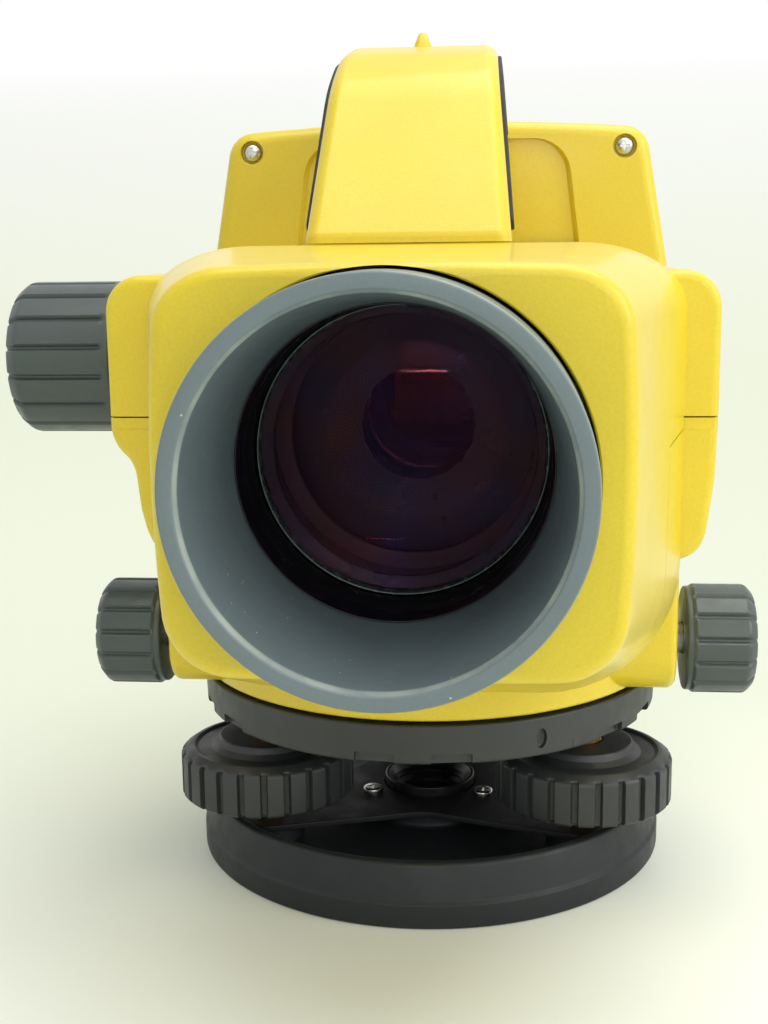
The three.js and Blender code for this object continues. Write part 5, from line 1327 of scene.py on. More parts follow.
@dataclass
class Housing(SubAssembly):
    """Yellow lower and upper housings, with the pieces let into their flanks."""

    wall: float = 3.0
    split: float = 106.0
    gap: float = 0.3
    half: float = 58.0
    front: float = 56.0
    front_edge: float = 1.6
    shoulder: float = 133.0
    shoulder_corner: float = 7.0
    rear_front: float = 38.0
    rear: float = 104.0
    flank_low: float = 78.3
    deck_half: float = 50.5
    deck_top: float = 138.2
    deck_corner: Point = (20.0, 12.0)
    block_front: float = 105.0
    block_shift: float = 1.0
    face_half: float = 37.2
    face_low: float = 69.5
    face_top: float = 135.0
    face_corner: Point = (12.0, 10.0)
    face_low_corner: float = 11.0
    rear_low: float = 52.0
    hollow_low: float = 67.0
    rear_low_corner: float = 26.0
    block_edge: float = 1.9
    block_tail: float = 30.0
    cavity_front: float = 78.0
    parting: float = 72.0
    parting_step: float = 2.2
    parting_drop: float = 3.3
    turret_radius: float = 52.5
    turret_low: float = 44.1
    turret_top: float = 66.0
    web_low: float = 60.0
    box_half: float = 54.0
    box_front: float = 35.0
    box_low: float = 44.5
    box_top: float = 82.0
    box_corner: float = 8.5
    hood_bore: float = 33.65
    hood_seat: float = 84.0
    sleeve_boss: float = 17.0
    sleeve_bore: float = 12.8
    sleeve_ends: Point = (58.4, 71.2)
    spindle_mouth: float = 27.0
    bay_inner: float = 34.1
    bay_ends: Point = (-3.4, 63.4)
    bay_heights: Point = (82.4, 102.6)
    bay_wall: float = 1.5
    door_ends: Point = (-5.6, 65.6)
    hinge_place: Point = (56.0, 80.9)
    hinge_ends: Point = (1.52, 58.48)
    hinge_radius: float = 1.7
    shaft_hole: float = 3.75
    socket_place: Point = (62.0, 91.0)
    socket_pins: int = 6
    key_place: Point = (15.0, 114.9)
    right_shares: tuple[Point, ...] = (
        (1, 0), (0.994, 0.43), (0.97, 0.82), (0.95, 0.92), (0.91, 0.98), (0.85, 1))
    left_shares: tuple[Point, ...] = (
        (1, 0.12), (0.974, 0.235), (0.938, 0.3), (0.922, 0.39), (0.909, 0.66), (0.893, 0.8),
        (0.871, 0.915), (0.84, 0.98), (0.8, 1))

    def build(self) -> None:
        """Build both housings and the pieces in their flanks."""
        self.lower()
        self.upper()
        self.door()
        self.socket()
        self.measuring_key()
        self.focus_bush()

    def flank_outline(self, inset: float) -> Outline:
        """Outline below the split, with its flanks' corners rounded.

        Args:
            inset: How far inside the skin.

        Returns:
            Its points.
        """
        width = self.half - inset
        low = self.flank_low + inset
        tall = self.split - low
        right = [(width * w, self.split - tall * d, 9.0) for w, d in self.right_shares[1:]]
        left = [(-width * w, self.split - tall * d, 7.0) for w, d in self.left_shares]
        return filleted([
            (-width, self.split, 0), *left, *right[::-1], (width, self.split, 0)], steps=3)

    def deck_outline(self, inset: float) -> Outline:
        """Outline of the block where it has its full width.

        Args:
            inset: How far inside the skin.

        Returns:
            Its points.
        """
        wide, tall = self.deck_corner
        low = self.hollow_low if inset > 0 else self.rear_low
        return shifted(rounded_box(
            self.deck_half - inset, low, self.deck_top - inset,
            (wide - inset, tall - inset), self.rear_low_corner - inset), self.block_shift, 0)

    def face_outline(self, inset: float) -> Outline:
        """Outline of the block's front face.

        Args:
            inset: How far inside the skin.

        Returns:
            Its points.
        """
        wide, tall = self.face_corner
        return shifted(rounded_box(
            self.face_half - inset, self.face_low + inset, self.face_top - inset,
            (wide - inset, tall - inset), self.face_low_corner - inset,
            swell=(0.5, 0.8, 0.4, 0.8)), self.block_shift, 0)

    def block_form(self, inset: float, front: float, edge: float) -> BMesh:
        """Rounded block that widens backward from the objective's face.

        Args:
            inset: How far inside the skin.
            front: Where it starts.
            edge: Radius of its front edge.

        Returns:
            The closed mesh.
        """
        rear = self.deck_outline(inset)
        sections = []
        depth = self.block_front - self.front
        steps = rounding(edge, 5) if edge > 0 else [(0.0, 0.0)]
        for away, more in steps + [((front - self.front) * k / 8, 0.0) for k in range(1, 9)]:
            share = (self.block_front - front + away) / depth
            sections.append((-front + away, blended(self.face_outline(inset + more), rear, share)))
        sections.append((-self.block_tail, rear))
        return loft(Axis.Y, sections)

    def form(self, inset: float, front: float, edge: float, more: float) -> BMesh:
        """Everything inside the painted skin of the body, inset by a wall for the hollow.

        Args:
            inset: How far inside the skin.
            front: Where the block starts.
            edge: Radius of the block's front edge.
            more: Overrun at the rear.

        Returns:
            The closed mesh.
        """
        start = -self.front + inset
        seam = self.split - self.gap
        corner = self.shoulder_corner - inset / 2
        round_front = rounding(self.front_edge, 4) if inset == 0 else [(0.0, 0.0)]
        front_end = [(start + away, less) for away, less in round_front]
        upper = [(at, rounded_box(
            self.half - inset - less, seam, self.shoulder - inset - less,
            (corner - less, corner - less), FIT_GAP, sides=0))
            for at, less in [*front_end, (self.rear_front + more, 0.0)]]
        deck = [(u, v) for u, v in self.deck_outline(inset) if v > seam]
        tail = loft(Axis.Y, [(-self.block_tail - FIT_GAP, deck), (self.rear_front + more, deck)])
        lower = loft(Axis.Y, [(at, self.flank_outline(inset + less))
                              for at, less in [*front_end, (self.rear + more, 0.0)]])
        return fused(self.block_form(inset, front, edge), tail, loft(Axis.Y, upper), lower)

    def lower_region(self, gap: float) -> BMesh:
        """Side view of all that belongs to the lower housing.

        Args:
            gap: Gap to keep from the parting line.

        Returns:
            The closed mesh.
        """
        far = 170.0
        seam = self.split - gap
        return loft(Axis.X, [(at, [
            (-self.parting + gap, 0), (far, 0), (far, seam), (-self.front + gap, seam),
            (-self.front + gap, seam - self.parting_step),
            (-self.parting + gap, seam - self.parting_drop)]) for at in (-far, far)])

    def lower(self) -> None:
        """Lower housing: turret, low box, flanks and the lower part of the block."""
        box_sections = [(away - self.box_half, rounded_box(
            self.box_front - less, self.box_low + less, self.box_top, (0.3, 0.3),
            self.box_corner - less, sides=0))
            for away, less in [*rounding(self.front_edge, 4), (self.box_half, 0.0)]]
        box_sections += [(-at, outline) for at, outline in box_sections[-2::-1]]
        low_box = loft(Axis.X, box_sections)
        turret = spun(Axis.Z, [
            (0, self.turret_low, 0), (self.turret_radius, self.turret_low, 1.1),
            (self.turret_radius, self.turret_top, 0.5), (0, self.turret_top, 0)], steps=144)
        shell = fused(self.form(0, self.block_front, self.block_edge, 0), low_box, turret)
        inner = self.box_half - self.wall
        deep = self.box_front - self.wall
        room = block(
            (-inner, inner), (-deep, deep), (self.web_low + self.wall, self.box_top + self.wall))
        cavity = fused(self.form(self.wall, self.cavity_front, 0, OVERRUN), room)
        under = rod(Axis.Z, self.turret_radius - self.wall, self.turret_low + 2.4, self.web_low,
                    steps=96)
        mouth = rod(Axis.Z, self.spindle_mouth, self.turret_low - 2, self.turret_low + 4.4,
                    steps=64)
        shell = carved(shell, cavity, under, mouth)
        boss = rod(Axis.Z, self.sleeve_boss, *self.sleeve_ends, steps=48)
        start, end = self.bay_ends
        bay = block((self.bay_inner - self.bay_wall, self.half - self.wall),
                    (start - self.bay_wall, end + self.bay_wall), (79.8, self.split))
        shell = fused(shell, boss, bay)
        low, high = self.sleeve_ends
        shell = carved(shell, rod(Axis.Z, self.sleeve_bore, low - 2.4, high + 2.8, steps=48))
        shell = joined(Join.KEEP, shell, self.lower_region(self.gap / 2))
        shaft = rod(Axis.X, self.shaft_hole, -self.box_half - 2, self.box_half + 2, WORM_PLACE)
        socket = rod(Axis.X, 6.3, -self.half - 2, -self.half + 12, self.socket_place)
        space = block((self.bay_inner, self.half + 2), self.bay_ends, self.bay_heights)
        start, end = self.door_ends[0] - FIT_GAP, self.door_ends[1] + FIT_GAP
        slab = block((self.half - self.wall - FIT_GAP, self.half + 2), (start, end),
                     (self.hinge_place[1], self.bay_heights[1] + FIT_GAP))
        pocket = rod(Axis.Y, 3.3, start, end, self.hinge_place)
        shell = carved(shell, gathered(shaft, socket), space, slab, pocket)
        self.add("lower_shell", shell, YELLOW, "alidade", "lower_housing", even=True)

    def upper(self) -> None:
        """Upper housing: front block, deck and shoulders."""
        shell = carved(
            self.form(0, self.block_front, self.block_edge, 0),
            self.form(self.wall, self.cavity_front, 0, OVERRUN), self.lower_region(-self.gap / 2))
        rear_cut = block(
            (-80, 80), (self.rear_front - self.gap, self.rear + 10), (self.split - 3, 180))
        bore = spun(Axis.Y, [
            (0, -self.block_front - 2, 0), (self.hood_bore + 2.3, -self.block_front - 2, 0),
            (self.hood_bore + 0.25, -self.block_front + 0.05, 0.2),
            (self.hood_bore, -self.block_front + 0.35, 0.2), (self.hood_bore, -self.hood_seat, 0),
            (0, -self.hood_seat, 0)], ON_SIGHT, 144)
        cell = rod(Axis.Y, 29.8, -self.hood_seat - 1, -self.cavity_front + 2, ON_SIGHT, steps=96)
        focus = rod(Axis.X, 6.3, -self.half - 2, -self.half + 6, FOCUS_PLACE)
        key = rod(Axis.X, 5.75, -self.half - 2, -self.half + 6, self.key_place)
        shell = carved(shell, rear_cut, bore, cell, gathered(focus, key))
        self.add("upper_shell", shell, YELLOW, "alidade", "upper_housing", even=True)

    def door(self) -> None:
        """Battery door: a piece of the right flank on a hinge barrel, with a finger catch."""
        skin = loft(Axis.Y, [(at, self.flank_outline(0)) for at in self.door_ends])
        slab = block(
            (self.half - 2.7, self.half + 2), self.door_ends, (81.75, self.bay_heights[1]))
        plate = soften(joined(Join.KEEP, skin, slab), 0.35, 2, math.radians(50))
        barrel = rod(Axis.Y, self.hinge_radius, *self.hinge_ends, self.hinge_place, 0.3)
        catch = block((self.half - 0.9, self.half + 2), (22, 38), (97.5, 99.3), 0.7)
        plate = fused(plate, barrel)
        plate = carved(plate, catch)
        self.add("battery_flap", plate, YELLOW, "battery_door", "battery_door", even=True)

    def socket(self) -> None:
        """Round data socket with its contact pins."""
        outer = -self.half * self.left_shares[4][0] - 2.0
        body = spun(Axis.X, [
            (4.4, outer, 0.2), (6.0, outer, 0.4), (6.0, outer + 8.5, 0.3), (0, outer + 8.5, 0),
            (0, outer + 7, 0), (4.4, outer + 7, 0.2)], self.socket_place, 48)
        self.add("socket_shell", body,
                 BLACK_METAL.about(Axis.X, (0, *self.socket_place), "black socket"),
                 "alidade", "data_socket")
        circle = [polar(2.5, i * FULL_TURN / self.socket_pins) for i in range(self.socket_pins)]
        pins = [rod(Axis.X, 0.45, outer + 3.5, outer + 7.2, place, 0.15, 12)
                for place in shifted(circle, *self.socket_place)]
        self.add("socket_pins", gathered(*pins), BRASS, "alidade")

    def measuring_key(self) -> None:
        """Round key on the left flank that starts a reading."""
        face = -self.half - 0.8
        mesh = spun(Axis.X, [
            (0, face + 0.25, 0), (3.2, face + 0.2, 2), (4.2, face, 0.5), (5.4, face, 0.5),
            (5.4, face + 4.1, 0.1), (6.6, face + 4.1, 0.1), (6.6, face + 5.5, 0.2),
            (0, face + 5.5, 0)], self.key_place, 48)
        self.add("measure_button", mesh, KEY_GREY, "measure_key", "measure_key")

    def focus_bush(self) -> None:
        """Flanged bush that the focusing shaft turns in."""
        outer = -self.half - FIT_GAP
        mesh = spun(Axis.X, [
            (2.85, outer - 1.6, 0.2), (8.0, outer - 1.6, 0.3), (8.0, outer, 0.1),
            (6.0, outer, 0.1), (6.0, outer + 4.6, 0.2), (2.85, outer + 4.6, 0.2)], FOCUS_PLACE, 48)
        self.add("focus_flange", mesh, BRASS.about(Axis.X, (0, *FOCUS_PLACE), "focus bush brass"),
                 "alidade", "focus_bush")


@dataclass
class Objective(SubAssembly):
    """Hood, objective cell, retaining ring and the lens."""

    hood_radius: float = 33.1
    mouth: float = 30.1
    throat: float = 27.4
    reach: float = 117.9
    rear: float = 84.4
    throat_front: float = 86.9
    lip_front: float = 86.4
    lip_radius: float = 27.25
    bore: float = 26.8
    cell_wall: float = 2.7
    cell_rear: float = 58.0
    stop: float = 61.2
    rear_bore: float = 23.9
    lens_radius: float = 26.45
    lens_front: float = 68.1
    crown: float = 2.4
    tube_radius: float = 25.3
    tube_bore: float = 23.0
    tube_rear: float = 8.0
    baffle: float = 21.0
    baffle_rear: float = 41.95
    baffle_thickness: float = 1.7

    def build(self) -> None:
        """Build the pieces from the hood back to the telescope tube."""
        rear, reach = -self.rear, -self.reach
        hood = spun(Axis.Y, [
            (self.throat, rear, 0.1), (self.hood_radius, rear, 0.3),
            (self.hood_radius, reach, 0.55), (self.mouth + 0.5, reach, 0.35),
            (self.mouth - 0.2, reach + 1.0, 0.4), (self.throat, -self.throat_front, 0.2)],
            ON_SIGHT, 160)
        self.add("hood_shell", hood, HOOD_GREY, "alidade", "hood")
        front = rear + FIT_GAP
        metal = replace(BLACK_METAL, roughness=0.2, axis=Axis.Y, centre=(0, *ON_SIGHT),
                        name="bright black cell metal")
        outer = self.bore + self.cell_wall
        cell = spun(Axis.Y, [
            (self.bore, -71.5, 0), *thread(self.bore, -0.3, 1.0, -71.5, -79.5),
            (self.bore, -80.0, 0), (self.bore + 0.05, -82.4, 0.1), (self.bore + 0.2, -82.7, 0.1),
            (self.bore + 0.2, -self.lip_front + 0.2, 0.1),
            (self.lip_radius - 0.1, -self.lip_front, 0.1), (self.lip_radius, -self.lip_front, 0),
            (self.lip_radius, front, 0), (outer, front, 0.3),
            (outer, -self.cell_rear, 0.2), (self.rear_bore, -self.cell_rear, 0.2),
            (self.rear_bore, -self.stop, 0.2), (self.bore, -self.stop, 0)], ON_SIGHT, 160)
        self.add("objective_barrel", cell, metal, "alidade", "objective_cell")
        start = -self.lens_front - 2 * FIT_GAP
        ring = spun(Axis.Y, [
            (self.bore - FIT_GAP, start, 0.1), (self.bore - FIT_GAP, start - 1.5, 0.12),
            (self.bore - 0.6, start - 1.5, 0.25), (self.bore - 0.85, start, 0.1)], ON_SIGHT, 160)
        # The ring's pale teal colour is a painted highlight.
        self.add("lens_ring", ring, RING_PAINTED_HIGHLIGHT, "alidade", "retaining_ring")
        self.add("front_lens", self.lens(), LENS_GLASS, "alidade", "objective_lens")
        self.tube()

    def lens(self) -> BMesh:
        """Objective lens with a crowned front and a ground edge.

        Returns:
            The closed mesh.
        """
        steps = 20
        radius = self.lens_radius
        corners: list[Corner] = [(0, -self.stop - FIT_GAP, 0), (radius, -self.stop - FIT_GAP, 0.3)]
        for k in range(steps + 1):
            share = k / steps
            corners.append((radius * (1 - share),
                            -self.lens_front - self.crown * (1 - (1 - share) ** 2), 0))
        return spun(Axis.Y, corners, ON_SIGHT, 160)

    def tube(self) -> None:
        """Telescope tube with a fine light thread inside, and its brown baffle ring."""
        front, rear = -self.cell_rear + FIT_GAP, -self.baffle_rear
        edge = rear - self.baffle_thickness
        mesh = spun(Axis.Y, [
            (self.rear_bore, front, 0.2), (self.tube_radius, front, 0.2),
            (self.tube_radius, self.tube_rear, 0.2), (self.tube_bore, self.tube_rear, 0.2),
            (self.tube_bore, rear, 0), (self.baffle, rear, 0.2), (self.baffle, edge, 0.3),
            (self.rear_bore, edge, 0),
            *thread(self.rear_bore, -0.25, 1.2, edge + 0.4, front - 1.0)], ON_SIGHT, 128)
        hole = rod(Axis.X, 3.9, -self.tube_radius - 2, -12.2, FOCUS_PLACE)
        self.add("telescope_barrel", carved(mesh, hole), LENS_CELL, "alidade",
                 "telescope_tube", even=True)


@dataclass
class CarryHandle(SubAssembly):
    """Carry handle with its two dark inlays and the sight on top."""

    low_half: float = 19.5
    top_half: float = 16.0
    deck: float = 138.2
    top: float = 179.6
    grip: float = 161.6
    tail_front: float = 37.7
    tail_low: float = 168.4
    inlay_inset: float = 2.0
    recess: float = 1.0
    proud: float = 0.6
    edge: float = 2.8
    sight_top: float = 182.6

    def build(self) -> None:
        """Build the handle, then the inlays."""
        self.handle()
        for side, name in SIDES:
            self.inlay(side, name)

    def flank(self, height: float) -> float:
        """Half of the handle's width at a height."""
        share = (height - self.deck) / (self.top - self.deck)
        return self.low_half + (self.top_half - self.low_half) * share

    def side_view(self, margin: float) -> Outline:
        """Side view along Y and Z, drawn in by a margin except where it meets the body.

        Args:
            margin: How far it is drawn in.

        Returns:
            Its points, along Y and Z.
        """
        foot = self.deck + FIT_GAP
        seats_y, seats_z = (self.tail_front,), (foot, self.tail_low)
        corners = [
            (-54, foot, 0), (-54, foot + 1.6, 2), (-34, 170, 22), (-23, 176.4, 22),
            (-9, self.top, 24), (36, self.top, 90), (68, 176.9, 60), (88, 170.6, 1.4),
            (88, self.tail_low, 0), (self.tail_front, self.tail_low, 0),
            (self.tail_front, self.grip, 0), (-5, self.grip, 8), (-13, 156.6, 10), (-28, foot, 0)]
        moved = [(y if y in seats_y else new_y, z if z in seats_z else new_z, radius)
                 for (y, z, radius), (new_y, new_z, _) in zip(corners, drawn_in(corners, margin))]
        return filleted(moved, steps=8)

    def inlay_view(self, margin: float) -> Outline:
        """Side view of the grip panel, drawn in by a margin.

        Args:
            margin: How far it is drawn in.

        Returns:
            Its points, along Y and Z.
        """
        foot = self.deck + FIT_GAP
        return filleted(drawn_in([
            (-54, foot, 1.5), (-34, 170, 18), (-23, 176.4, 18), (-9, self.top, 20),
            (36, self.top, 2.5), (36, self.grip, 2.5), (-5, self.grip, 8), (-13, 156.6, 10),
            (-28, foot, 1.5)], margin), steps=6)

    def sheet(self, outline: Outline, offsets: tuple[float, float]) -> BMesh:
        """Solid of a side view between two offsets from the right flank.

        Args:
            outline: The side view.
            offsets: Where it starts and ends.

        Returns:
            The closed mesh.
        """
        mesh = bmesh.new()
        ring = [mesh.verts.new((self.flank(z) + offsets[0], y, z)) for y, z in outline]
        edges = [mesh.edges.new(pair) for pair in zip(ring, ring[1:] + ring[:1])]
        face = bmesh.ops.contextual_create(mesh, geom=edges)["faces"]
        grown = bmesh.ops.extrude_face_region(mesh, geom=face + edges + ring)["geom"]
        for vert in (g for g in grown if isinstance(g, BMVert)):
            vert.co.x += offsets[1] - offsets[0]
        if not any(f in mesh.faces[:] for f in face if f.is_valid):
            bmesh.ops.contextual_create(mesh, geom=edges)
        return outward(mesh)

    def handle(self) -> None:
        """Yellow handle: a side view drawn out between its tapering flanks."""
        ends = rounding(self.edge, 5)
        layers = [(-1, *end) for end in ends] + [(1, *end) for end in ends[::-1]]
        mesh = loft(Axis.X, [(k, self.side_view(less)) for k, (_, _, less) in enumerate(layers)])
        for vert in mesh.verts:
            side, away, _ = layers[round(vert.co.x)]
            vert.co.x = side * (self.flank(vert.co.z) - away)
        for side in (-1, 1):
            tool = self.sheet(self.inlay_view(self.inlay_inset), (-self.recess, 4.0))
            mesh = carved(mesh, mirrored(tool) if side < 0 else tool)
        sight = loft(Axis.Z, [(self.sight_top - drop, rounded_box(
            half, -9 + lean, 1 - lean, (half * 0.7, half * 0.7), half * 0.7, 4, 0))
            for drop, half, lean in ((3.4, 2.0, 0), (2.2, 1.6, 0.5), (0.8, 1.05, 1.2),
                                     (0.2, 0.8, 1.7), (0, 0.45, 2.2))])
        mesh = fused(mesh, sight)
        self.add("handle_bow", mesh, YELLOW, "alidade", "carry_handle", even=True)

    def inlay(self, side: int, name: str) -> None:
        """Dark grip panel let into one flank.

        Args:
            side: -1 or 1 along X.
            name: The side's name.
        """
        mesh = self.sheet(
            self.inlay_view(self.inlay_inset + FIT_GAP), (FIT_GAP - self.recess, self.proud))
        outer = [e for e in mesh.edges if min(v.co.x - self.flank(v.co.z) for v in e.verts)
                 > self.proud - 0.01 and e.calc_face_angle(0) > SOFT_EDGE_ANGLE]
        round_edges(mesh, outer, 0.3, 3)
        self.add(f"grip_panel_{name}", mirrored(mesh) if side < 0 else mesh, SOFT_BLACK,
                 "alidade", f"handle_inlay_{name}", even=True)


@dataclass
class DisplayEnd(SubAssembly):
    """Display housing, rear panel, keys, window, circular level and eyepiece."""

    front: float = 38.0
    rear: float = 104.0
    low: float = 106.15
    half: float = 57.3
    shoulder: float = 133.0
    top_half: float = 51.6
    side_top: float = 166.0
    crown: float = 168.1
    corner: float = 7.0
    edge: float = 3.0
    wall: float = 3.0
    step_depth: float = 1.5
    step_corners: tuple[Corner, ...] = (
        (-36.5, 125, 0), (36.5, 125, 0), (31.6, 163.6, 9), (-31.6, 163.6, 9))
    screw_side: float = 46.3
    screw_height: float = 161.4
    panel_rear: float = 109.3
    panel_low: float = 80.5
    eyepiece_hole: float = 12.8
    eyepiece_front: float = 63.0
    eyepiece_rear: float = 117.0
    eyepiece_radius: float = 12.5
    eyepiece_bore: float = 10.9
    ring_length: float = 13.6
    dish_radius: float = 20.0
    window_half: float = 30.0
    window_low: float = 127.0
    window_high: float = 154.5
    columns: tuple[float, float] = (-28.5, -41.5)
    rows: tuple[float, float, float] = (90.0, 102.0, 114.0)
    level_place: Point = (39.5, 93.0)
    level_low: float = 84.3
    mirror_corner: Point = (81.8, 110.7)
    mirror_length: float = 22.0
    mirror_thickness: float = 1.5
    key_names: tuple[str, ...] = (
        "power_key", "menu_key", "escape_key", "up_key", "down_key", "enter_key")

    def build(self) -> None:
        """Build the pieces of the eyepiece end."""
        self.shell()
        self.screws()
        self.panel()
        self.window()
        self.keys()
        self.level()
        self.eyepiece()

    def outline(self, inset: float, low: float, corners: float | None = None) -> Outline:
        """Face of the display housing, crowned and narrower at its top.

        Args:
            inset: How far inside the skin.
            low: Its lower edge.
            corners: Radius of the upper corners, if not the skin's.

        Returns:
            Its points.
        """
        top = self.top_half - inset
        side_top = self.side_top - inset
        rise = self.crown - self.side_top
        radius = self.corner - inset if corners is None else corners
        crown = [(top * s, side_top + rise * (1 - s * s), 0) for s in
                 (0.8, 0.6, 0.4, 0.2, 0, -0.2, -0.4, -0.6, -0.8)]
        return filleted([
            (self.half - inset, low, 0), (self.half - inset, self.shoulder, 14),
            (top, side_top, radius), *crown, (-top, side_top, radius),
            (inset - self.half, self.shoulder, 14), (inset - self.half, low, 0)], steps=8)

    def shell(self) -> None:
        """Yellow shell with a shallow step in its front face."""
        sections = [(self.front + away, self.outline(less, self.low))
                    for away, less in rounding(self.edge, 6)]
        sections.append((self.rear, self.outline(0, self.low)))
        mesh = loft(Axis.Y, sections)
        hollow = loft(Axis.Y, [(at, self.outline(self.wall, self.low - 2)) for at in
                               (self.front + self.wall + self.step_depth, self.rear + 2)])
        step_view = filleted(self.step_corners, steps=8)
        widths = ((-2, 1.06), (-0.02, 1.02), (0.7, 1), (self.step_depth, 0.985))
        step = loft(Axis.Y, [
            (self.front + deep, [(u * wide, v) for u, v in step_view]) for deep, wide in widths])
        passage = rod(Axis.Y, 24.0, self.front - 2, self.front + 8, ON_SIGHT)
        mesh = carved(mesh, hollow, step, passage)
        for side in (-1, 1):
            place = (side * self.screw_side, self.screw_height)
            pocket = spun(Axis.Y, [
                (0, self.front - 1, 0), (3.6, self.front - 1, 0), (2.85, self.front + 0.3, 0.2),
                (2.75, self.front + 2, 0.1), (1.6, self.front + 2, 0), (1.6, self.front + 8, 0),
                (0, self.front + 8, 0)], place, 40)
            mesh = carved(mesh, pocket)
        self.add("display_shell", mesh, YELLOW, "alidade", "display_housing", even=True)

    def screws(self) -> None:
        """Two cross-head screws in the pockets of the front face."""
        for side, name in SIDES:
            place = (side * self.screw_side, self.screw_height)
            head = self.front + 1.7
            mesh = spun(Axis.Y, [
                (0, head - 1.5, 0), (1.2, head - 1.42, 1.5), (2.2, head - 0.8, 0.3),
                (2.2, head, 0.1), (1.3, head, 0), (1.3, self.front + 7.5, 0.2),
                (0, self.front + 7.5, 0)], place, 40)
            arms = [block(span(place[0], a), (head - 2, head - 0.8), span(place[1], b))
                    for a, b in ((1.2, 0.28), (0.28, 1.2))]
            mesh = carved(mesh, *arms)
            finish = STEEL.about(Axis.Y, (place[0], 0, place[1]), f"steel of {name} screw")
            self.add(f"display_fixing_{name}", mesh, finish, "alidade", f"display_screw_{name}")

    def panel(self) -> None:
        """Rear panel with its openings for the display, keys, level and eyepiece."""
        front = self.rear + 0.3
        rear = self.panel_rear
        flank = Housing()
        lower = [(u, v) for u, v in flank.flank_outline(1.0) if v < flank.split - 1]
        upper = self.outline(1.0, flank.split)
        outline = [(u, max(v, self.panel_low)) for u, v in lower] + upper
        mesh = loft(Axis.Y, [(front, outline), (rear, outline)])
        round_edges(mesh, [e for e in mesh.edges if all(v.co.y > rear - 0.01 for v in e.verts)],
                    1.1, 4)
        recess = block((28.5, 50.5), (80.0, front + 2), (82.5, 112.5))
        mesh = fused(mesh, recess)
        tools = [block((30.0, 49.0), (81.5, rear + 2), (84, 111), 1.0),
                 rod(Axis.Y, self.eyepiece_hole, front - 2, rear + 2, ON_SIGHT, steps=64),
                 block(span(0, 28), (front - 2, rear + 2), (129, 152.5)),
                 block(span(0, 30.3), (rear - 2.2, rear + 2), (126.7, 154.8))]
        mesh = carved(mesh, *tools)
        slots = [block(span(x, 5.35), (front - 2, rear + 2), span(z, 4.15))
                 for x in self.columns for z in self.rows]
        mesh = carved(mesh, gathered(*slots))
        self.add("rear_cover", mesh, CHARCOAL, "alidade", "rear_panel", even=True)

    def window(self) -> None:
        """Display window, and the panel with its dot grid behind it."""
        face = self.panel_rear - 0.3
        glass = block(span(0, self.window_half), (face - 1.6, face),
                      (self.window_low, self.window_high), 0.25)
        self.add("window_pane", glass, SCREEN_GLASS, "alidade", "display_window")
        back = self.rear
        module = block(span(0, 33), (back - 5, back), (124, 157.5), 0.4)
        self.add("display_carrier", module, BATTERY_CASE, "alidade", "display_module")
        sheet = block(span(0, 27.6), (back, back + 0.8), (129.4, 152.1), 0.15)
        self.add("display_sheet", sheet, SCREEN, "alidade")

    def keys(self) -> None:
        """Six rubber keys with dished faces."""
        back = self.rear
        face = self.panel_rear + 0.9
        for i, name in enumerate(self.key_names):
            x = self.columns[i // len(self.rows)]
            z = self.rows[i % len(self.rows)]
            cap = block(span(x, 5), (back - 0.3, face), span(z, 3.8))
            long_edges = [e for e in cap.edges if abs((e.verts[0].co - e.verts[1].co).y) > 1]
            round_edges(cap, long_edges, 1.6, 4)
            soften(cap, 0.5, 3, math.radians(60))
            cap = carved(cap, ball(self.dish_radius, (x, face + self.dish_radius - 0.4, z), 48))
            cap = fused(cap, block(span(x, 6), (back - 1.4, back), span(z, 4.8), 0.2))
            self.add(name.replace("key", "keycap"), cap, KEY_GREY, name, name)

    def level(self) -> None:
        """Circular level in its recess, with its ring mark, under a mirror."""
        place, low = self.level_place, self.level_low
        vial = spun(Axis.Z, [
            (0, low, 0), (7.6, low, 0.3), (7.6, low + 6.1, 0.4), (6.6, low + 6.4, 0.3),
            (5.0, low + 6.55, 1), (0, low + 6.7, 0)], place, 64)
        self.add("level_bowl", vial, LEVEL_FLUID, "alidade", "level_vial")
        ring = spun(Axis.Z, [(2.6, low + 6.62, 0), (2.9, low + 6.6, 0), (2.9, low + 6.75, 0),
                             (2.6, low + 6.77, 0)], place, 48)
        self.add("level_ring_mark", ring, SOFT_BLACK, "alidade")
        run = self.mirror_length / math.sqrt(2)
        front, top = self.mirror_corner
        lift = self.mirror_thickness * math.sqrt(2)
        plate = loft(Axis.X, [(at, [(front, top - run), (front + run, top),
                                    (front + run - lift, top), (front, top - run + lift)])
                              for at in (30.4, 48.6)])
        self.add("level_mirror_plate", soften(plate, 0.15, 2), MIRROR, "alidade", "level_mirror")

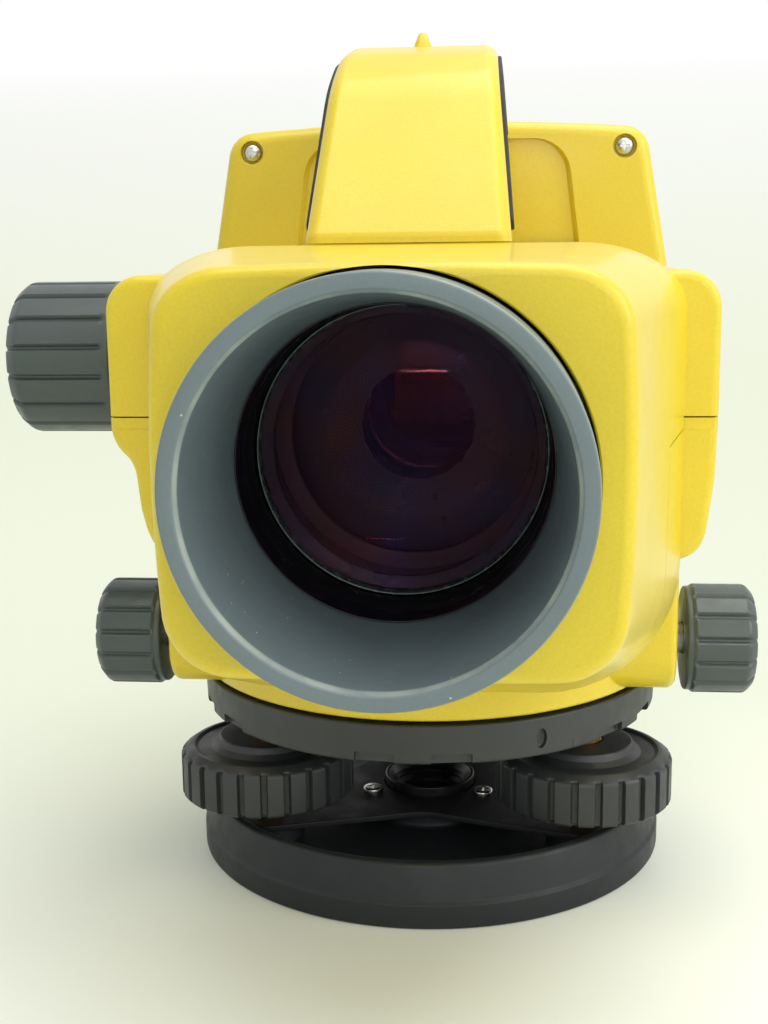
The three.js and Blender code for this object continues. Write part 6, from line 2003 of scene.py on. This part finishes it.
    def eyepiece(self) -> None:
        """Eyepiece tube, dioptre ring, eye cup and the lens cell."""
        metal = BLACK_METAL.about(Axis.Y, (0, *ON_SIGHT), "black optical metal")
        seat = self.panel_rear + 0.3
        bore, outer = self.eyepiece_bore, self.eyepiece_radius
        front, rear = self.eyepiece_front, self.eyepiece_rear
        tube = spun(Axis.Y, [
            (bore, front, 0.2), (outer, front, 0.2), (outer, seat, 0), (15, seat, 0.2),
            (15, seat + 1.8, 0.4), (outer, seat + 1.8, 0.1), (outer, rear, 0.3),
            (bore, rear, 0.2)], ON_SIGHT, 64)
        self.add("eyepiece_sleeve", tube, metal, "alidade", "eyepiece_tube")
        start = seat + 1.8 + 0.35
        end = start + self.ring_length
        grooves = Grooves(24, 0.42, 0.7, start + 1.6, end - 1.6, 1.2, flat=0.45, land_steps=2)
        ring = grip(Axis.Y, [
            (12.9, start, 0), (15.2, start, 0.4), (16, start + 0.8, 0.5), (16, end - 0.8, 0.5),
            (15.2, end, 0.4), (12.9, end, 0)], grooves, ON_SIGHT)
        ring = carved(ring, rod(Axis.Y, 12.85, start - 2, end + 2, ON_SIGHT, steps=64))
        self.add("dioptre_grip", ring, CHARCOAL, "dioptre_ring", "eyepiece_ring")
        cup_start = end + FIT_GAP
        cup = spun(Axis.Y, [
            (9.4, cup_start, 0.2), (15.4, cup_start, 0.4), (15.4, 134.6, 2.5), (13.4, 138.6, 1.4),
            (12.2, 139.1, 0.5), (11.4, 138.4, 0.6), (9.4, 135.1, 0.8)], ON_SIGHT, 64)
        self.add("rubber_eye_cup", cup, SOFT_BLACK, "dioptre_ring", "eye_cup")
        cell = spun(Axis.Y, [(0, 106, 0), (10.5, 106, 0.3), (10.5, 120, 0.3), (8.6, 120, 0.2),
                             (8.6, 108.4, 0), (0, 108.4, 0)], ON_SIGHT, 64)
        self.add("eyepiece_barrel", cell, metal, "eyepiece_cell", "eyepiece_cell")
        lens = spun(Axis.Y, [(0, 113, 0), (8.4, 113, 0.2), (8.4, 115.6, 0.2), (5, 116.8, 4),
                             (0, 117.2, 0)], ON_SIGHT, 48)
        self.add("eye_lens", lens, CLEAR_GLASS, "eyepiece_cell")


@dataclass
class FocusDrive(SubAssembly):
    """Focusing knob on the left of the housing."""

    reach: float = 87.0
    length: float = 26.4
    radius: float = 16.25
    collar: float = 14.9
    collar_length: float = 3.4

    def build(self) -> None:
        """Build the knob."""
        inner = -self.reach + self.length
        shoulder = inner - self.collar_length
        r = self.radius
        grooves = Grooves(
            16, 0.26, 0.9, -self.reach - 2, shoulder - 0.8, 1.8, flat=0.15, land_steps=5)
        mesh = grip(Axis.X, [
            (0.8, -self.reach, 0), (r * 0.5, -self.reach, 5), (r - 1.9, -self.reach + 0.5, 2),
            (r, -self.reach + 2.9, 2.2), (r, shoulder, 0.9), (self.collar, shoulder + 0.7, 0.6),
            (self.collar, inner, 0.6), (2.0, inner, 0)], grooves, FOCUS_PLACE)
        hole = rod(Axis.X, 2.8, -self.reach + 2.2, inner + 2, FOCUS_PLACE)
        mesh = carved(mesh, hole)
        self.add("focus_grip", mesh, KNOB_RUBBER, "focus_spindle", "focus_knob")


class InnerWorks(SubAssembly):
    """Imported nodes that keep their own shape, each given its finish."""

    def build(self) -> None:
        """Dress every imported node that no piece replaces."""
        spindle_steel = STEEL.about(Axis.Z, (0, 0, 0), "spindle steel")
        spindle_brass = BRASS.about(Axis.Z, (0, 0, 0), "spindle brass")
        tube_metal = BLACK_METAL.about(Axis.Y, (0, *ON_SIGHT), "black tube metal")
        dress = {
            spindle_steel: ("spindle", "spindle_nut"),
            spindle_brass: ("worm_wheel", "bearing_sleeve"),
            tube_metal: ("compensator_frame", "focus_carriage"),
            STEEL.about(Axis.X, (0, *FOCUS_PLACE), "focus shaft steel"): ("focus_shaft",),
            INNER_GLASS: ("focusing_lens", "beam_splitter"),
            BRASS: ("pendulum",),
            BOARD: ("sensor_board", "main_board"),
            BATTERY_CASE: ("battery",),
        }
        for finish, names in dress.items():
            for name in names:
                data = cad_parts[name].data
                data.materials.clear()
                data.materials.append(finish.material())
                LOG.info("%s: packed node, %s", name, finish.name)


@dataclass
class Studio:
    """Floor, backdrop, lamps and the camera."""

    floor_colour: Colour = (240, 245, 237)
    distant_colour: Colour = (240, 246, 222)
    distant_share: float = 0.8
    fade_along: Point = (-0.07, 0.1)
    fade_away: Point = (0.2, 0.6)
    fade_up: Point = (0.03, 0.35)
    fade_out: Point = (1.6, 2.9)
    floor_half: float = 3000.0
    backdrop_back: float = 1500.0
    backdrop_height: float = 2500.0
    seeing_rays: tuple[str, ...] = ("Is Camera Ray", "Is Glossy Ray", "Is Transmission Ray")
    world_strength: float = 0.378
    lamp_colour: Place = (1.0, 0.99, 0.965)
    lamp_target: Place = (0.0, 0.0, 0.1)
    camera_place: Place = (29.28, -329.59, 137.71)
    yaw: float = -0.0987
    pitch: float = -0.1871
    roll: float = -0.0126
    focal_pixels: float = 1399.5
    long_side_pixels: float = 1024.0
    sensor: float = 36.0

    def build(self) -> None:
        """Set up the whole studio."""
        self.sweep()
        self.world()
        self.lamps()
        self.camera()
        bpy.context.scene.view_settings.view_transform = "Standard"

    def sweep(self) -> None:
        """Pale floor that curves up into the backdrop."""
        half = self.floor_half * MM
        back = self.backdrop_back * MM
        mesh = bmesh.new()
        corners = [mesh.verts.new((x, -half, 0)) for x in (-half, half)]
        edges = [mesh.edges.new(corners)]
        for y, z in ((back, 0), (back, self.backdrop_height * MM)):
            grown = bmesh.ops.extrude_edge_only(mesh, edges=edges)["geom"]
            fresh = [g for g in grown if isinstance(g, BMVert)]
            for vert in fresh:
                vert.co.y, vert.co.z = y, z
            edges = [g for g in grown if isinstance(g, BMEdge) and all(v in fresh for v in g.verts)]
        bend = [e for e in mesh.edges if all(abs(v.co.y - back) < WELD and v.co.z < WELD
                                             for v in e.verts)]
        round_edges(mesh, bend, 0.8, 16)
        floor = placed("studio_sweep", mesh)
        for face in floor.data.polygons:
            face.use_smooth = True
        floor.data.materials.append(self.paper().material)

    def paper(self) -> Shader:
        """Pale paper that shows plain white in the distance, to the camera and in gloss.

        Returns:
            The shader that holds the material.
        """
        shader = Shader("studio paper")
        tone = shader.spread(shader.noise(60, 3.0), 0.98, 1.0)
        colour = shader.times(linear(self.floor_colour)[:3], tone)
        shader.feed(shader.surface, {"Base Color": colour, "Roughness": 0.9})
        apart = shader.node("ShaderNodeSeparateXYZ", {"Vector": shader.place}).outputs
        away = shader.node("ShaderNodeVectorMath", {0: shader.place}, operation="LENGTH"
                           ).outputs["Value"]
        far = shader.math("MAXIMUM", shader.spread(apart["Z"], 0.0, 1.0, *self.fade_up),
                          shader.spread(away, 0.0, 1.0, *self.fade_out))
        share = shader.spread(apart["Y"], 0.0, self.distant_share, *self.fade_along)
        for more in (shader.spread(away, 0.0, self.distant_share, *self.fade_away), far):
            share = shader.math("MAXIMUM", share, more)
        path = shader.node("ShaderNodeLightPath").outputs
        seen: object = 0.0
        for kind in self.seeing_rays:
            seen = shader.math("MAXIMUM", path[kind], seen)
        share = shader.math("MULTIPLY", share, seen)
        white = shader.mix(far, linear(self.distant_colour), WHITE)
        glow = shader.node("ShaderNodeEmission", {"Color": white, "Strength": 1.0})
        mixed = shader.node("ShaderNodeMixShader", {"Fac": share})
        tree = shader.material.node_tree
        tree.links.new(shader.surface.outputs["BSDF"], mixed.inputs[1])
        tree.links.new(glow.outputs["Emission"], mixed.inputs[2])
        output = next(n for n in shader.nodes if n.bl_idname == "ShaderNodeOutputMaterial")
        tree.links.new(mixed.outputs["Shader"], output.inputs["Surface"])
        return shader

    def world(self) -> None:
        """Even surroundings that show white to the camera, in gloss and through glass."""
        world = bpy.data.worlds.new("studio_world")
        world.use_nodes = True
        tree = world.node_tree
        back = tree.nodes["Background"]
        back.inputs["Color"].default_value = WHITE
        path = tree.nodes.new("ShaderNodeLightPath").outputs
        goal = back.inputs["Strength"]
        for kind in self.seeing_rays:
            most = tree.nodes.new("ShaderNodeMath")
            most.operation = "MAXIMUM"
            tree.links.new(path[kind], most.inputs[0])
            tree.links.new(most.outputs["Value"], goal)
            goal = most.inputs[1]
        goal.default_value = self.world_strength
        bpy.context.scene.world = world

    def lamps(self) -> None:
        """Large soft panels above, right and in front, and a tube seen in the lens."""
        for name, place, size, power in (
                ("overhead_panel", (0.2, -0.1, 1.3), (1.4, 1.0), 14.1),
                ("right_window", (1.3, -0.5, 0.7), (0.9, 1.1), 9.0),
                ("front_window", (0.45, -1.5, 0.75), (1.3, 0.9), 5.3),
                ("ceiling_tube", (0.0, -1.273, 0.249), (0.19, 0.005), 0.25)):
            lamp = bpy.data.lights.new(name, "AREA")
            lamp.shape = "RECTANGLE"
            lamp.size, lamp.size_y = size
            lamp.energy = power
            lamp.color = self.lamp_colour
            obj = bpy.data.objects.new(name, lamp)
            obj.location = place
            obj.rotation_euler = (Vector(self.lamp_target) - Vector(place)).to_track_quat(
                "-Z", "Y").to_euler()
            bpy.context.collection.objects.link(obj)

    def camera(self) -> None:
        """Camera at the photograph's place and angle."""
        ahead = Vector((math.sin(self.yaw) * math.cos(self.pitch),
                        math.cos(self.yaw) * math.cos(self.pitch), math.sin(self.pitch)))
        level = ahead.cross(Vector((0, 0, 1))).normalized()
        above = level.cross(ahead)
        c, s = math.cos(self.roll), math.sin(self.roll)
        right = level * c + above * s
        up = above * c - level * s
        turn = Matrix((right, up, -ahead)).transposed().to_4x4()
        data = bpy.data.cameras.new("photo_camera")
        data.sensor_fit = "AUTO"
        data.sensor_width = self.sensor
        data.lens = self.focal_pixels / self.long_side_pixels * self.sensor
        data.clip_start = 0.01
        camera = bpy.data.objects.new("photo_camera", data)
        camera.matrix_world = Matrix.Translation(Vector(self.camera_place) * MM) @ turn
        bpy.context.collection.objects.link(camera)
        bpy.context.scene.camera = camera


def main() -> None:
    """Build and dress every sub-assembly, then the studio."""
    logging.basicConfig(level=logging.INFO, format="%(name)s %(message)s")
    assemblies: list[SubAssembly] = [
        LevellingBase(), FootScrews(), LevellingStage(), FineMotion(), Housing(), Objective(),
        CarryHandle(), DisplayEnd(), FocusDrive(), InnerWorks()]
    for assembly in assemblies:
        LOG.info("building %s", type(assembly).__name__)
        assembly.build()
    Studio().build()


if __name__ == "__main__":
    main()
